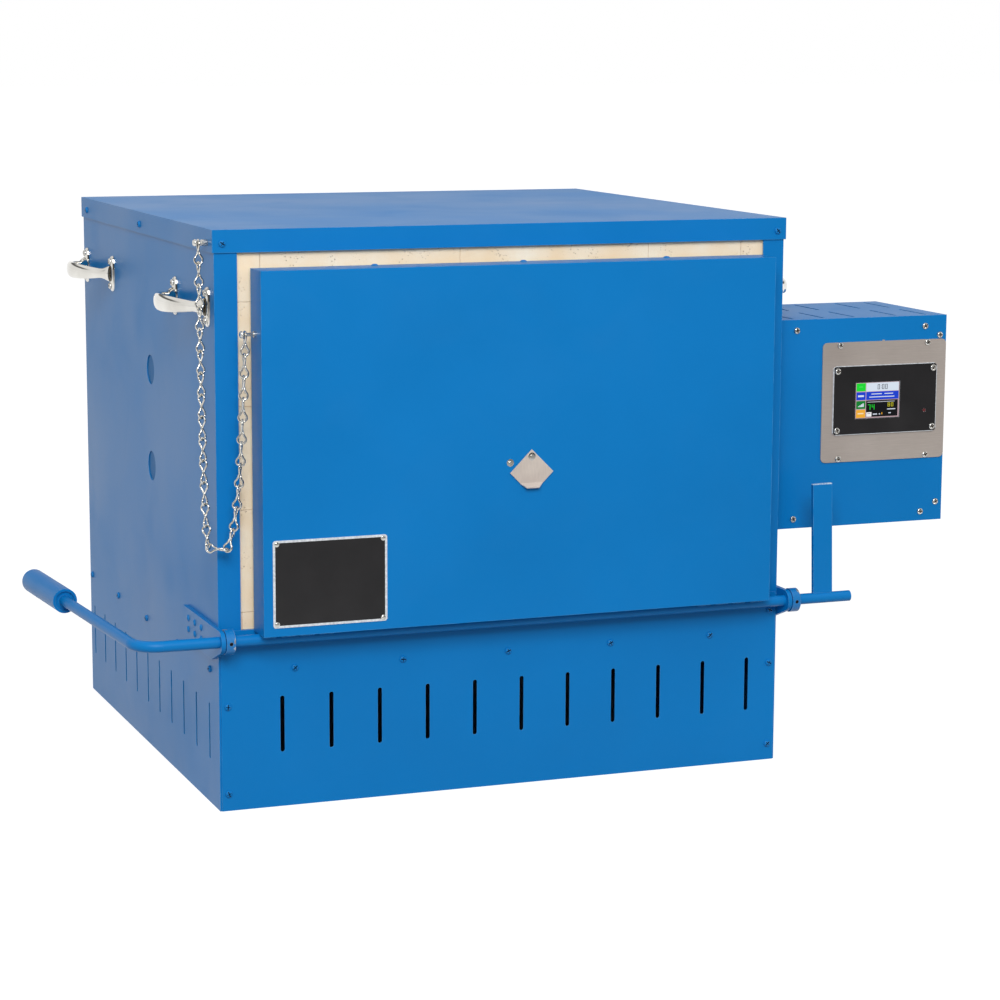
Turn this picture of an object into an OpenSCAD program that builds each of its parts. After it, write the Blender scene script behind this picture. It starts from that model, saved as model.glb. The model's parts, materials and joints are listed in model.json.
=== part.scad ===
// Front-loading bead annealing kiln with a drop-down door, a door arm and a control box.
// +Z is up, -Y is the front. The origin is the middle of the casing's front bottom edge.

/* [Casing] */
// Width of the casing
casing_w = 682; // [640:1:760]
// Depth of the casing
casing_d = 635; // [600:1:720]
// Height of the casing with its top cover
casing_h = 645; // [620:1:720]
// Thickness of the sheet steel
sheet = 1.2; // [0.8:0.1:2]
// Width of the front flanges of the side panels
flange_w = 26; // [20:1:28]
// Width of the back and bottom flanges
return_w = 20; // [16:1:24]
// Height of the lip of the top cover
cover_lip = 25; // [18:1:28]
// Gap between the top cover's lip and the side panels
cover_gap = 0.8; // [0.4:0.1:2]
// Height of the base's front panel
base_h = 204; // [198:1:208]
// Height of the shelf that carries the bricks
shelf_z = 172; // [166:1:176]
// Depth of the shelf's turned-down edges
shelf_flange = 26; // [22:1:32]

/* [Vent slots] */
// Number of slots in each face of the base
slot_count = 11; // [5:1:11]
// Distance from slot to slot
slot_pitch = 57.15; // [40:0.05:58]
// Width of a slot
slot_w = 5; // [3:0.5:8]
// Length of a slot
slot_len = 64; // [40:1:70]
// Middle height of the front slots
front_slot_z = 94.5; // [80:0.5:100]
// Middle height of the side and back slots
side_slot_z = 83; // [70:0.5:90]
// Diameter of the two ports in the left side
port_d = 35; // [20:1:45]
// Depth of the two ports' middle behind the front face
port_y = 290.5; // [200:0.5:400]
// Height of the upper port
port_z = 461.5; // [420:0.5:480]
// Distance from the upper port down to the lower one
port_pitch = 114.7; // [80:0.1:140]

/* [Bricks] */
// Length of a fire brick
brick_l = 228.6; // [200:0.1:240]
// Height of a wall course
course_h = 114.3; // [100:0.1:120]
// Thickness of the wall and floor bricks
wall_t = 50.8; // [44:0.1:56]
// Thickness of the roof bricks
roof_t = 63.5; // [50:0.1:66]
// Thickness of the fibre blanket behind the back wall and above the roof
blanket_t = 12; // [8:1:16]
// Width of a cement joint
joint_w = 0.5; // [0.3:0.1:1.5]
// Distance from the casing's front face back to the bricks
brick_setback = 4; // [3:0.5:8]

/* [Heating] */
// Height of the lowest element row above the chamber floor
row_first = 72; // [68:1:74]
// Distance from row to row
row_pitch = 68; // [64:0.5:68.5]
// Distance from the front face back to the element ends
element_y = 60; // [56:1:80]
// Width of an element groove
groove_w = 15; // [12:1:18]
// Outer diameter of an element coil
coil_d = 9.5; // [6:0.5:11]
// Diameter of the ceramic bushes on the element ends
bush_d = 9; // [7:0.5:11]
// Diameter of the element ends
lead_d = 3.2; // [2:0.1:4]
// Diameter of the thermocouple's sheath
thermo_d = 8; // [5:0.5:10]

/* [Door] */
// Distance from each side of the casing to the door, before the door's shift
door_margin = 35.25; // [33:0.25:51]
// Distance of the door's middle to the right of the casing's middle
door_shift = 5; // [0:0.5:7]
// Distance from the top of the casing down to the door
door_drop = 42.1; // [40.1:1:52.1]
// Depth of the door's sheet shell
door_t = 40; // [34:1:48]
// Gap between the door's shell and the front face
door_gap = 2; // [1.8:0.1:4]
// How far the door's lining stands into that gap
lining_proud = 4.5; // [2:0.5:5]
// Inner diameter of the peephole
peep_d = 19; // [12:1:22]
// Height of the peephole above the door's middle
peep_up = -33; // [-60:1:60]
// Distance of the peephole to the right of the door's middle
peep_side = 6.3; // [-60:0.1:60]
// Side of the square peephole cover
peep_side_len = 36.5; // [32:0.5:44]

/* [Door rod] */
// Diameter of the hinge rod
rod_d = 12.7; // [10:0.1:14]
// Radial clearance of the rod in its brackets and collars
rod_clear = 0.05; // [0.02:0.01:0.09]
// Distance from the casing's front face forward to the rod's axis
rod_out = 20; // [19:0.5:22]
// Height of the rod's axis
rod_z = 196.5; // [195:0.5:199]
// Distance from the casing's side out to the corner of the rod and its arm
arm_out = 94.5; // [69:0.5:129]
// Inner bend radius at that corner, measured to the rod's axis
bend_r = 28; // [20:1:40]
// Angle by which the arm leans away from the casing
arm_splay = 4; // [0:0.5:10]
// Distance along the arm from the corner to the grip
arm_len = 281; // [200:1:320]
// Length of the grip
grip_len = 141; // [100:1:160]
// Diameter of the grip
grip_d = 29; // [22:0.5:36]
// Distance from the casing's side out to the rod's right end
rod_over = 86; // [69:1:109]
// Height of the lever bar above the rod's axis
lever_h = 137; // [100:1:160]
// Width of the lever bar
lever_w = 25; // [18:0.5:30]
// Thickness of the lever bar
lever_t = 5; // [3:0.5:8]
// Distance from the casing's side out to the lever bar's foot
lever_out = 50; // [42:0.5:59]
// Angle by which the lever bar leans towards the casing
lever_lean = 1.5; // [0:0.5:3]
// Outer diameter of a shaft collar
collar_d = 28; // [22:0.5:30]
// Width of a shaft collar
collar_w = 10; // [9:0.5:14]
// Thickness of a hinge bracket
bracket_t = 4.8; // [3:0.1:6]
// Height of a hinge bracket
bracket_h = 38; // [34:1:40]
// Radius of a hinge bracket's nose round the rod
nose_r = 12.5; // [11:0.5:14]
// Distance that a hinge bracket reaches back along the casing
bracket_back = 134; // [128:1:150]

/* [Lift handles] */
// Distance between the two feet of a handle
handle_span = 140; // [110:1:150]
// Height of a foot
foot_h = 44; // [36:1:50]
// Width of a foot
foot_w = 15; // [13:1:18]
// Thickness of the bow
bow_t = 11; // [7:0.5:11]
// Height of the bow at its middle
bow_tall = 19.5; // [14:0.5:20]
// Distance from the casing to the outside of the bow
bow_out = 42; // [28:1:45]
// Distance from the top of the casing down to the handles' middle
handle_down = 85; // [70:1:90]
// Depth of the front handles' middle behind the front face
handle_front_y = 93; // [92:1:150]
// Distance from the back of the casing to the rear handles' middle
handle_rear = 93; // [85:1:185]

/* [Control box] */
// Width of the control box
box_w = 236; // [230:1:260]
// Depth of the control box
box_d = 179; // [170:1:200]
// Height of the control box
box_h = 250; // [246:1:266]
// Height of the control box's underside
box_z = 272; // [262:1:276]
// Distance from the casing's front face back to the box's front
box_back = 30; // [25:1:50]
// Width of the bare steel mounting plate
plate_w = 166; // [156:1:168]
// Height of the mounting plate
plate_h = 144; // [130:1:150]
// Thickness of the mounting plate
plate_t = 1.5; // [1:0.1:2.5]
// Width of the controller's faceplate
face_w = 139.5; // [130:0.5:145]
// Height of the controller's faceplate
face_h = 83; // [76:0.5:88]
// Thickness of the controller's faceplate
face_t = 2; // [1.5:0.1:3]
// Width of the display
screen_w = 59.7; // [50:0.1:64]
// Height of the display
screen_h = 43.8; // [38:0.1:46]
// Diameter of the cord gland's bore
gland_bore = 11; // [8:0.5:14]
// Diameter of the cord gland's body
gland_d = 20; // [18:0.5:26]

/* [Door chain] */
// Diameter of the chain's wire
wire_d = 2.3; // [1.8:0.1:2.4]
// Middle radius of a link's loop
loop_r = 4.6; // [4.4:0.1:5]
// Distance between the end wires of one link, middle to middle
link_len = 26.3; // [25:0.1:28]
// Number of links that hang from the casing, above the lowest
casing_links = 14; // [13:1:15]
// Number of links that hang from the door, above the lowest
door_links = 10; // [9:1:11]
// Sharpness of the chain's bottom curve
chain_sag = 8; // [7.5:0.1:9]
// Outward distance of the hanging chain from the casing's side
chain_off = 12; // [11:0.1:14]
// Depth of the chain's screw behind the front face
chain_y = 18; // [16:0.5:20]
// Angle by which the chain's lowest link turns round the casing's corner
chain_turn = 40; // [36:1:50]

/* [Hidden] */

$fn = 48;
blue = [0.03, 0.42, 0.72];
steel = [0.72, 0.72, 0.7];
cream = [0.94, 0.87, 0.74];
eps = 0.01;

// Screws and the holes that they pass through
hole_clear = 0.2;
screw_d = 4;
head_d = 8;
head_h = 2.6;
skin_grip = 0.3;

half_w = casing_w / 2;
door_w = casing_w - 2 * door_margin;
arm_x = half_w + arm_out;
rod_right = half_w + rod_over;
lever_x = half_w + lever_out;
handle_z = casing_h - handle_down;
handle_rear_y = casing_d - handle_rear;
skin_top = casing_h - sheet;
cover_out = sheet + cover_gap;
in_x = half_w - sheet;
back_y = casing_d - sheet - 0.1;
panel_top = skin_top - 0.3;

// Brickwork
wall_x = in_x - joint_w;
cham_x = wall_x - wall_t;
floor_z = shelf_z + wall_t;
roof_top = skin_top - joint_w - blanket_t;
cham_top = roof_top - roof_t;
wall_back = back_y - sheet - joint_w - blanket_t;
cham_back = wall_back - wall_t;
score = 1.5;
roof_joints = [-57.5, brick_l - 57.5];

// Heating elements: 4 rows, joined in pairs
groove_z = [for (i = [0 : 3]) floor_z + row_first + i * row_pitch];
coil_x = cham_x + groove_w / 2 + 0.5;
coil_y = cham_back + groove_w / 2 + 0.5;
turn_r = groove_w / 2 + 0.5;
lead_end = half_w + 34;
thermo_y = element_y + 70;
thermo_z = (groove_z[1] + groove_z[2]) / 2;

// Screw places on the casing
lip_z = skin_top - cover_lip / 2 - sheet;
side_lip_y = [chain_y, casing_d / 2 + 8, casing_d - 30];
front_lip_x = half_w - 9;
back_lip_x = half_w * 0.6;
shelf_screw_z = shelf_z - shelf_flange / 2 - 1.5;
side_screw_z = shelf_screw_z - 3;
shelf_screw_x = [for (i = [-2 : 2]) i * 127];
side_screw_y = [for (i = [0 : 4]) 37 + i * (casing_d - 49.5) / 4];
edge_x = half_w - 9.5;
edge_z = [19.5, 118.5, 182.5];
back_screw_x = half_w - return_w / 2;
back_screw_z = [for (i = [0 : 4]) 24 + i * (skin_top - cover_lip - 60) / 4];
slot_i = [for (i = [0 : slot_count - 1]) (i - (slot_count - 1) / 2) * slot_pitch];

// Door
door_x0 = door_shift - door_w / 2;
door_x1 = door_shift + door_w / 2;
door_z0 = rod_z + rod_d / 2 + 0.05;
door_z1 = casing_h - door_drop;
door_h = door_z1 - door_z0;
door_back = -door_gap;
door_front = door_back - door_t;
frame_in = sheet + 0.2;
frame_leg = 16;
frame_lip = 14;
lining_in = frame_in + sheet + 0.4;
raised_in = frame_in + frame_lip + 1.6;
lining_back = door_back + lining_proud;
lining_front = door_front + sheet + 0.2;
peep_x = door_shift + peep_side;
peep_z = (door_z0 + door_z1) / 2 + peep_up;
tube_d = peep_d + 6;
cover_half = peep_side_len * sqrt(0.5);
cover_t = 1.5;
lip_taper = 6.5;
cover_y = door_front - 0.4;
pivot_d = 4;
pivot_z = peep_z + cover_half - 8;
stop_x = peep_x - 25.2;
stop_z = pivot_z - 6.3;
door_screw_pitch = door_w / 2 - 130.75;
door_screw_x = [for (i = [-1 : 1]) door_shift + 8 + i * door_screw_pitch];
door_screw_y = door_back - 8;
info_w = 131;
info_h = 97;
info_x = door_x0 + 10.5 + info_w / 2;
info_z = door_z0 + 9.5 + info_h / 2;
info_t = 0.8;

// Door rod, brackets and collars
rod_y = -rod_out;
bend_a = 90 - arm_splay;
bend_tan = bend_r * tan(bend_a / 2);
bore_d = rod_d + 2 * rod_clear;
spigot = 90;
bracket_top = rod_z + nose_r;
bracket_z0 = bracket_top - bracket_h;
rivet_first = 55.5;
rivet_pitch = 28;
rivet_yz = [for (i = [0 : 2], z = [rod_z + 1.5, rod_z - 11.5]) [rivet_first + rivet_pitch * i, z]];
collar_left = -half_w + 0.6;
collar_right = half_w + bracket_t + 0.6;

// Lift handles
foot_t = 4;
handle_y = [handle_front_y, handle_rear_y];
foot_screw = foot_h / 2 - 7;
bow_c = handle_span / 2;
bow_sag = bow_out - bow_t / 2 - foot_t;
bow_r = (bow_c * bow_c + bow_sag * bow_sag) / 2 / bow_sag;
bow_a = asin(bow_c / bow_r);

// Control box
box_x0 = half_w + 0.3;
box_x1 = half_w + box_w;
box_y0 = box_back;
box_y1 = box_back + box_d;
box_z1 = box_z + box_h;
box_rim = 18;
wall_rim = 15;
wall_screws = [for (y = [box_y0 + 9, box_y1 - 8], z = [box_z + 8, box_z1 - 8]) [y, z]];
front_screws = [for (z = [box_z + 11.3, box_z1 - 12.8]) each [[box_x0 + 34.5, z], [box_x1 - 29.4, z]],
    [box_x1 - 9, box_z + 22.4], [box_x1 - 9, box_z1 - 24]];
plate_x = box_x1 - 0.6 - plate_w / 2;
plate_z = box_z1 - 28.7 - plate_h / 2;
plate_y = box_y0 - plate_t;
plate_screws = [for (x = [-60, 57.8], z = [-68.1, 68.3]) [plate_x + x, plate_z + z]];
face_x = plate_x + 0.7;
face_z = plate_z + 2.2;
face_y = plate_y - face_t;
face_screws = [for (x = [-64.4, 64.4], z = [-35.8, 35.4]) [face_x + x, face_z + z]];
screen_x = face_x - 10.2;
screen_z = face_z - 0.8;
window_w = screen_w + 14;
window_h = screen_h + 14;
light_x = face_x + 53.5;
light_z = face_z - 15.8;
top_slot_x = [34.5, 75.5, 116, 172.5, 213];
gland_x = box_x1 - 60;
gland_z = box_z + 30;
board_w = 104;
board_h = 64;
board_t = 1.6;
relay_base = 58;
relay_w = 42;
relay_t = 32;
relay_gap = 30;
block_w = 18;
block_gap = 15;

// Door chain: a node is the point where two links meet, tight or loose
tight = 1.2;
loose = 2.45;
hang = 3.25;
chain_x = -half_w - chain_off;
step = link_len - 2 * tight;
function climb(j) = atan(j * step / chain_sag);
function reach(j, first, last) = link_len - (j == 1 ? first : tight) - (j == last ? hang : tight);
function leg_out(j, first, last) = j == 0 ? 0
    : leg_out(j - 1, first, last) + reach(j, first, last) * cos(climb(j));
function leg_up(j, first, last) = j == 0 ? 0
    : leg_up(j - 1, first, last) + reach(j, first, last) * sin(climb(j));
chain_z = lip_z - leg_up(casing_links, tight, casing_links);
left_y = chain_y - leg_out(casing_links, tight, casing_links);
span = link_len - tight - loose;
right_x = chain_x + span * cos(chain_turn);
right_y = left_y - span * sin(chain_turn);
door_chain_x = right_x + leg_out(door_links, loose, door_links);
door_chain_z = chain_z + leg_up(door_links, loose, door_links);

// Turns a shape that points up so that it points along one row axis
module toward(v) {
    rotate(v[2] != 0 ? [v[2] > 0 ? 0 : 180, 0, 0] : v[1] != 0 ? [v[1] > 0 ? -90 : 90, 0, 0]
        : [0, v[0] > 0 ? 90 : -90, 0]) children();
}

// Box between two corners
module slab(a, b) {
    translate([min(a[0], b[0]), min(a[1], b[1]), min(a[2], b[2])])
        cube([abs(b[0] - a[0]), abs(b[1] - a[1]), abs(b[2] - a[2])]);
}

// Pan-head screw: the head stands outwards from p along v, the shank goes the other way
module screw(p, v, len, d = screw_d, head = head_d, high = head_h) {
    translate(p) toward(v) {
        translate([0, 0, -len]) cylinder(d = d, h = len + eps);
        cylinder(d1 = head, d2 = head * 0.7, h = high, $fn = 24);
    }
}

module hole(p, v, d = screw_d + 2 * hole_clear, deep = 8) {
    translate(p) toward(v) translate([0, 0, -deep]) cylinder(d = d, h = 2 * deep);
}

// Upright slot with round ends through a sheet whose normal is v
module vent(p, v, deep = 3) {
    s = (slot_len - slot_w) / 2;
    slab([p[0] - (v[0] == 0 ? slot_w / 2 : deep), p[1] - (v[1] == 0 ? slot_w / 2 : deep), p[2] - s],
        [p[0] + (v[0] == 0 ? slot_w / 2 : deep), p[1] + (v[1] == 0 ? slot_w / 2 : deep), p[2] + s]);
    for (k = [-1, 1]) translate([p[0], p[1], p[2] + k * s]) toward(v)
        translate([0, 0, -deep]) cylinder(d = slot_w, h = 2 * deep, $fn = 24);
}

// Flat plate with round corners, its back at y
module card(x, y, z, w, h, t, r) {
    translate([x, y, z]) rotate([90, 0, 0]) linear_extrude(t) {
        square([w - 2 * r, h], center = true);
        square([w, h - 2 * r], center = true);
        for (i = [-1, 1], j = [-1, 1]) translate([i * (w / 2 - r), j * (h / 2 - r)]) circle(r);
    }
}

// Casing
module side_panel(s) {
    difference() {
        union() {
            slab([s * half_w, 0, 0], [s * in_x, casing_d, panel_top]);
            slab([s * half_w, 0, 0], [s * (half_w - flange_w), sheet, panel_top]);
            slab([s * half_w, casing_d - sheet, 0], [s * (half_w - return_w), casing_d, panel_top]);
            slab([s * half_w, 0, 0], [s * (half_w - return_w), casing_d, sheet]);
        }
        for (i = slot_i) vent([s * half_w, casing_d / 2 + 10 + i, side_slot_z], [1, 0, 0]);
        for (y = side_screw_y) hole([s * half_w, y, side_screw_z], [1, 0, 0]);
        for (y = side_lip_y) hole([s * half_w, y, lip_z], [1, 0, 0], deep = 3);
        for (z = edge_z) hole([s * edge_x, 0, z], [0, 1, 0], deep = 3);
        for (z = back_screw_z) hole([s * back_screw_x, casing_d, z], [0, 1, 0], deep = 3);
        hole([s * front_lip_x, 0, lip_z], [0, 1, 0], deep = 3);
        for (p = rivet_yz) hole([s * half_w, p[0], p[1]], [1, 0, 0], deep = 3);
        for (y = handle_y, i = [-1, 1], j = [-1, 1])
            hole([s * half_w, y + i * bow_c, handle_z + j * foot_screw], [1, 0, 0], deep = 3);
        if (s < 0) for (k = [0, 1])
            hole([-half_w, port_y, port_z - k * port_pitch], [1, 0, 0], port_d, 3);
        if (s > 0) {
            for (z = groove_z) hole([half_w, element_y, z], [1, 0, 0], bush_d + 2, 3);
            hole([half_w, thermo_y, thermo_z], [1, 0, 0], thermo_d + 2, 3);
            for (p = wall_screws) hole([half_w, p[0], p[1]], [1, 0, 0], deep = 3);
        }
    }
}

module side_panel_left() { color(blue) side_panel(-1); }
module side_panel_right() { color(blue) side_panel(1); }

module back_panel() {
    x = in_x - 0.3;
    foot_x = half_w - return_w - 1;
    color(blue) difference() {
        union() {
            slab([-x, back_y - sheet, sheet + 0.1], [x, back_y, panel_top]);
            slab([-foot_x, back_y - return_w, 0], [foot_x, back_y, sheet]);
            slab([-foot_x, back_y - sheet, 0], [foot_x, back_y, 2 * sheet]);
        }
        for (i = slot_i) vent([i, back_y, side_slot_z], [0, 1, 0]);
        for (s = [-1, 1], z = back_screw_z) hole([s * back_screw_x, back_y, z], [0, 1, 0], deep = 3);
        for (x = shelf_screw_x) hole([x, back_y, shelf_screw_z], [0, 1, 0], deep = 3);
        for (s = [-1, 1]) hole([s * back_lip_x, back_y, lip_z], [0, 1, 0], deep = 3);
    }
}

module top_cover() {
    x = half_w + cover_out;
    y1 = casing_d + cover_out;
    z0 = casing_h - cover_lip;
    seam = 0.8;
    color(blue) difference() {
        union() {
            slab([-x, -cover_out, skin_top], [x, y1, casing_h]);
            for (y = [-cover_out, y1 - sheet]) slab([-x, y, z0], [x, y + sheet, casing_h]);
            for (s = [-1, 1]) slab([s * x, -cover_out + sheet + seam, z0],
                [s * (x - sheet), y1 - sheet - seam, casing_h]);
        }
        for (s = [-1, 1], y = side_lip_y) hole([s * x, y, lip_z], [1, 0, 0], deep = 3);
        for (s = [-1, 1]) {
            hole([s * front_lip_x, -cover_out, lip_z], [0, 1, 0], deep = 3);
            hole([s * back_lip_x, y1, lip_z], [0, 1, 0], deep = 3);
        }
    }
}

module base_front_panel() {
    x = half_w - 2;
    hem_x = half_w - flange_w - 1;
    hem_y = brick_setback - 0.6;
    foot_x = half_w - return_w - 1;
    color(blue) difference() {
        union() {
            slab([-x, -sheet, 0], [x, 0, base_h]);
            slab([-hem_x, -sheet, base_h - sheet], [hem_x, hem_y, base_h]);
            slab([-hem_x, hem_y - sheet, base_h - 14], [hem_x, hem_y, base_h]);
            slab([-foot_x, -sheet, 0], [foot_x, return_w, sheet]);
        }
        for (i = slot_i) vent([i + 17, -sheet / 2, front_slot_z], [0, 1, 0], 2);
        for (x = shelf_screw_x) hole([x, -sheet / 2, shelf_screw_z], [0, 1, 0], deep = 2);
        for (s = [-1, 1], z = edge_z) hole([s * edge_x, -sheet / 2, z], [0, 1, 0], deep = 2);
    }
}

// Shelf with four turned-down edges that carries the brickwork
module brick_shelf() {
    x = in_x - 0.2;
    y0 = sheet + 0.2;
    y1 = back_y - sheet - 0.2;
    z0 = shelf_z - shelf_flange;
    color(blue) difference() {
        slab([-x, y0, z0], [x, y1, shelf_z]);
        slab([-x + sheet, y0 + sheet, z0 - 1], [x - sheet, y1 - sheet, shelf_z - sheet]);
        for (x = shelf_screw_x, y = [y0, y1]) hole([x, y, shelf_screw_z], [0, 1, 0], deep = 5);
        for (s = [-1, 1], y = side_screw_y) hole([s * x, y, side_screw_z], [1, 0, 0], deep = 5);
    }
}

// Plugs set behind the two ports of the left side
module port_plugs() {
    color(blue) for (k = [0, 1]) translate([-in_x - 0.2, port_y, port_z - k * port_pitch])
        toward([1, 0, 0]) cylinder(d = port_d - 0.4, h = joint_w + 0.1);
}

// Brickwork. Cement joints are scored into the faces that can be seen.
module side_wall(s) {
    rows = [for (i = [1 : 4]) if (floor_z + i * course_h < roof_top - 8) floor_z + i * course_h];
    a = [s * cham_x, brick_setback, floor_z + joint_w];
    difference() {
        slab(a, [s * wall_x, wall_back, roof_top]);
        for (z = rows) {
            slab([s * (cham_x - 1), 0, z], [s * (cham_x + score), wall_back + 1, z + joint_w]);
            slab([s * (cham_x - 1), 0, z], [s * (wall_x + 1), brick_setback + score, z + joint_w]);
        }
        for (i = [0 : 3], y = [brick_l * (0.5 + 0.5 * (i % 2)) : brick_l : cham_back - 20])
            slab([s * (cham_x - 1), y, floor_z + i * course_h + joint_w],
                [s * (cham_x + score), y + joint_w, min(floor_z + (i + 1) * course_h, cham_top)]);
        for (z = groove_z) slab([s * (cham_x - 1), element_y - groove_w / 2, z - groove_w / 2],
            [s * (cham_x + groove_w), cham_back + groove_w, z + groove_w / 2]);
        if (s < 0) for (i = [0, 2]) slab([-cham_x + 1, element_y - groove_w / 2, groove_z[i]],
            [-cham_x - groove_w, element_y + groove_w / 2, groove_z[i + 1]]);
        if (s > 0) {
            for (z = groove_z) hole([half_w, element_y, z], [1, 0, 0], bush_d + 0.4, 60);
            hole([half_w, thermo_y, thermo_z], [1, 0, 0], thermo_d + 1, 60);
        }
    }
}

module left_wall_bricks() { color(cream) side_wall(-1); }
module right_wall_bricks() { color(cream) side_wall(1); }

module back_wall_bricks() {
    x = cham_x - joint_w;
    color(cream) difference() {
        slab([-x, cham_back, floor_z + joint_w], [x, wall_back, roof_top]);
        for (i = [1 : 2]) slab([-x - 1, cham_back - 1, floor_z + i * course_h],
            [x + 1, cham_back + score, floor_z + i * course_h + joint_w]);
        for (i = [0 : 2], k = [0, 1]) slab([(k - 0.5 * (i % 2)) * brick_l, cham_back - 1,
            floor_z + i * course_h + joint_w], [(k - 0.5 * (i % 2)) * brick_l + joint_w,
            cham_back + score, min(floor_z + (i + 1) * course_h, cham_top)]);
        for (z = groove_z) slab([-x - 1, cham_back - 1, z - groove_w / 2],
            [x + 1, cham_back + groove_w, z + groove_w / 2]);
    }
}

module roof_bricks() {
    x = cham_x - joint_w;
    color(cream) difference() {
        slab([-x, brick_setback, cham_top], [x, cham_back - joint_w, roof_top]);
        for (j = roof_joints) {
            slab([j, 0, cham_top - 1], [j + joint_w, brick_setback + score, roof_top + 1]);
            slab([j, 0, cham_top - 1], [j + joint_w, cham_back, cham_top + score]);
        }
        for (y = [brick_setback + course_h : course_h : cham_back - 20])
            slab([-x - 1, y, cham_top - 1], [x + 1, y + joint_w, cham_top + score]);
    }
}

module floor_bricks() {
    color(cream) difference() {
        slab([-wall_x, brick_setback, shelf_z + 0.1], [wall_x, wall_back, floor_z]);
        for (j = [-1.5 : 1 : 1.5]) if (abs(j * brick_l + 30) < wall_x - 20) {
            slab([j * brick_l + 30, 0, shelf_z], [j * brick_l + 30 + joint_w, brick_setback + score,
                floor_z + 1]);
            slab([j * brick_l + 30, 0, floor_z - score], [j * brick_l + 30 + joint_w, cham_back,
                floor_z + 1]);
        }
        for (y = [brick_setback + course_h : course_h : cham_back - 20])
            slab([-cham_x, y, floor_z - score], [cham_x, y + joint_w, floor_z + 1]);
    }
}

module fibre_blankets() {
    color("white") {
        slab([-wall_x, wall_back + 0.1, shelf_z + 0.1], [wall_x, wall_back + blanket_t, roof_top]);
        slab([-wall_x, brick_setback, roof_top + 0.1],
            [wall_x, wall_back + blanket_t, roof_top + blanket_t]);
    }
}

// Quarter turn of a coil in the plane whose normal is v, from angle a
module turn(p, a, upright = false) {
    translate(p) rotate(upright ? [0, -90, 0] : [0, 0, 0]) rotate([0, 0, a])
        rotate_extrude(angle = 90) translate([turn_r, 0]) circle(d = coil_d, $fn = 32);
}

module coil_run(p, v, len) {
    translate(p) toward(v) cylinder(d = coil_d, h = len, $fn = 32);
}

// Each element runs right, back and left in one row and returns in the row above it
module heating_elements() {
    run_y = cham_back - element_y;
    color([0.35, 0.33, 0.32]) for (i = [0, 2]) {
        for (z = [groove_z[i], groove_z[i + 1]]) {
            coil_run([coil_x, element_y - 3, z], [0, 1, 0], run_y + 3);
            translate([coil_x, element_y, z]) toward([1, 0, 0])
                cylinder(d = lead_d, h = lead_end - coil_x - 4);
            turn([cham_x, cham_back, z], 0);
            coil_run([-cham_x, coil_y, z], [1, 0, 0], 2 * cham_x);
            turn([-cham_x, cham_back, z], 90);
            coil_run([-coil_x, element_y + turn_r, z], [0, 1, 0], run_y - turn_r);
        }
        turn([-coil_x, element_y + turn_r, groove_z[i] + turn_r], 180, true);
        coil_run([-coil_x, element_y, groove_z[i] + turn_r], [0, 0, 1],
            groove_z[i + 1] - groove_z[i] - 2 * turn_r);
        turn([-coil_x, element_y + turn_r, groove_z[i + 1] - turn_r], 270, true);
    }
}

module lead_bushes() {
    x0 = cham_x + groove_w - 1;
    color("ivory") for (z = groove_z) difference() {
        translate([x0, element_y, z]) toward([1, 0, 0]) cylinder(d = bush_d, h = half_w + 12 - x0);
        translate([x0 - 1, element_y, z]) toward([1, 0, 0])
            cylinder(d = lead_d + 0.2, h = half_w + 14 - x0);
    }
}

module thermocouple() {
    color(steel) translate([cham_x - 28, thermo_y, thermo_z]) toward([1, 0, 0]) {
        cylinder(d = thermo_d, h = half_w - cham_x + 43);
        translate([0, 0, half_w - cham_x + 28.05]) cylinder(d = 24, h = 3);
        translate([0, 0, half_w - cham_x + 38]) cylinder(d = 18, h = 14);
    }
}

// Lift handle: two feet and a bow that swells in the middle
module lift_handle(s, y) {
    lens_r = (bow_c * bow_c + pow(bow_tall / 2 - 4.5, 2)) / (bow_tall - 9);
    color(steel) translate([s * half_w, y, handle_z]) toward([s, 0, 0]) {
        difference() {
            for (k = [-1, 1]) translate([0, k * bow_c, 0]) {
                linear_extrude(foot_t) {
                    square([foot_h - foot_w, foot_w], center = true);
                    for (j = [-1, 1]) translate([j * (foot_h - foot_w) / 2, 0]) circle(d = foot_w);
                }
                translate([0, 0, foot_t - eps]) cylinder(d1 = foot_w - 2, d2 = 8, h = 4);
            }
            for (k = [-1, 1], j = [-1, 1]) translate([j * foot_screw, k * bow_c, -1])
                cylinder(d = screw_d + 2 * hole_clear, h = foot_t + 2);
        }
        intersection() {
            translate([0, 0, bow_out - bow_t / 2 - bow_r]) rotate([0, -90, 0]) rotate([0, 0, -bow_a])
                rotate_extrude(angle = 2 * bow_a, $fn = 240) translate([bow_r, 0]) {
                    square([bow_t, bow_tall - bow_t], center = true);
                    for (k = [-1, 1]) translate([0, k * (bow_tall - bow_t) / 2]) circle(d = bow_t);
                }
            translate([0, 0, foot_t / 2]) linear_extrude(bow_out) intersection() {
                for (k = [-1, 1]) translate([k * (lens_r - bow_tall / 2), 0]) circle(lens_r, $fn = 360);
            }
        }
    }
}

module handle_left_front() { lift_handle(-1, handle_front_y); }
module handle_left_rear() { lift_handle(-1, handle_rear_y); }
module handle_right_front() { lift_handle(1, handle_front_y); }
module handle_right_rear() { lift_handle(1, handle_rear_y); }

module handle_screws() {
    color(steel) for (s = [-1, 1], y = handle_y, i = [-1, 1], j = [-1, 1])
        screw([s * (half_w + foot_t), y + i * bow_c, handle_z + j * foot_screw], [s, 0, 0],
            foot_t + sheet + skin_grip);
}

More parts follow.
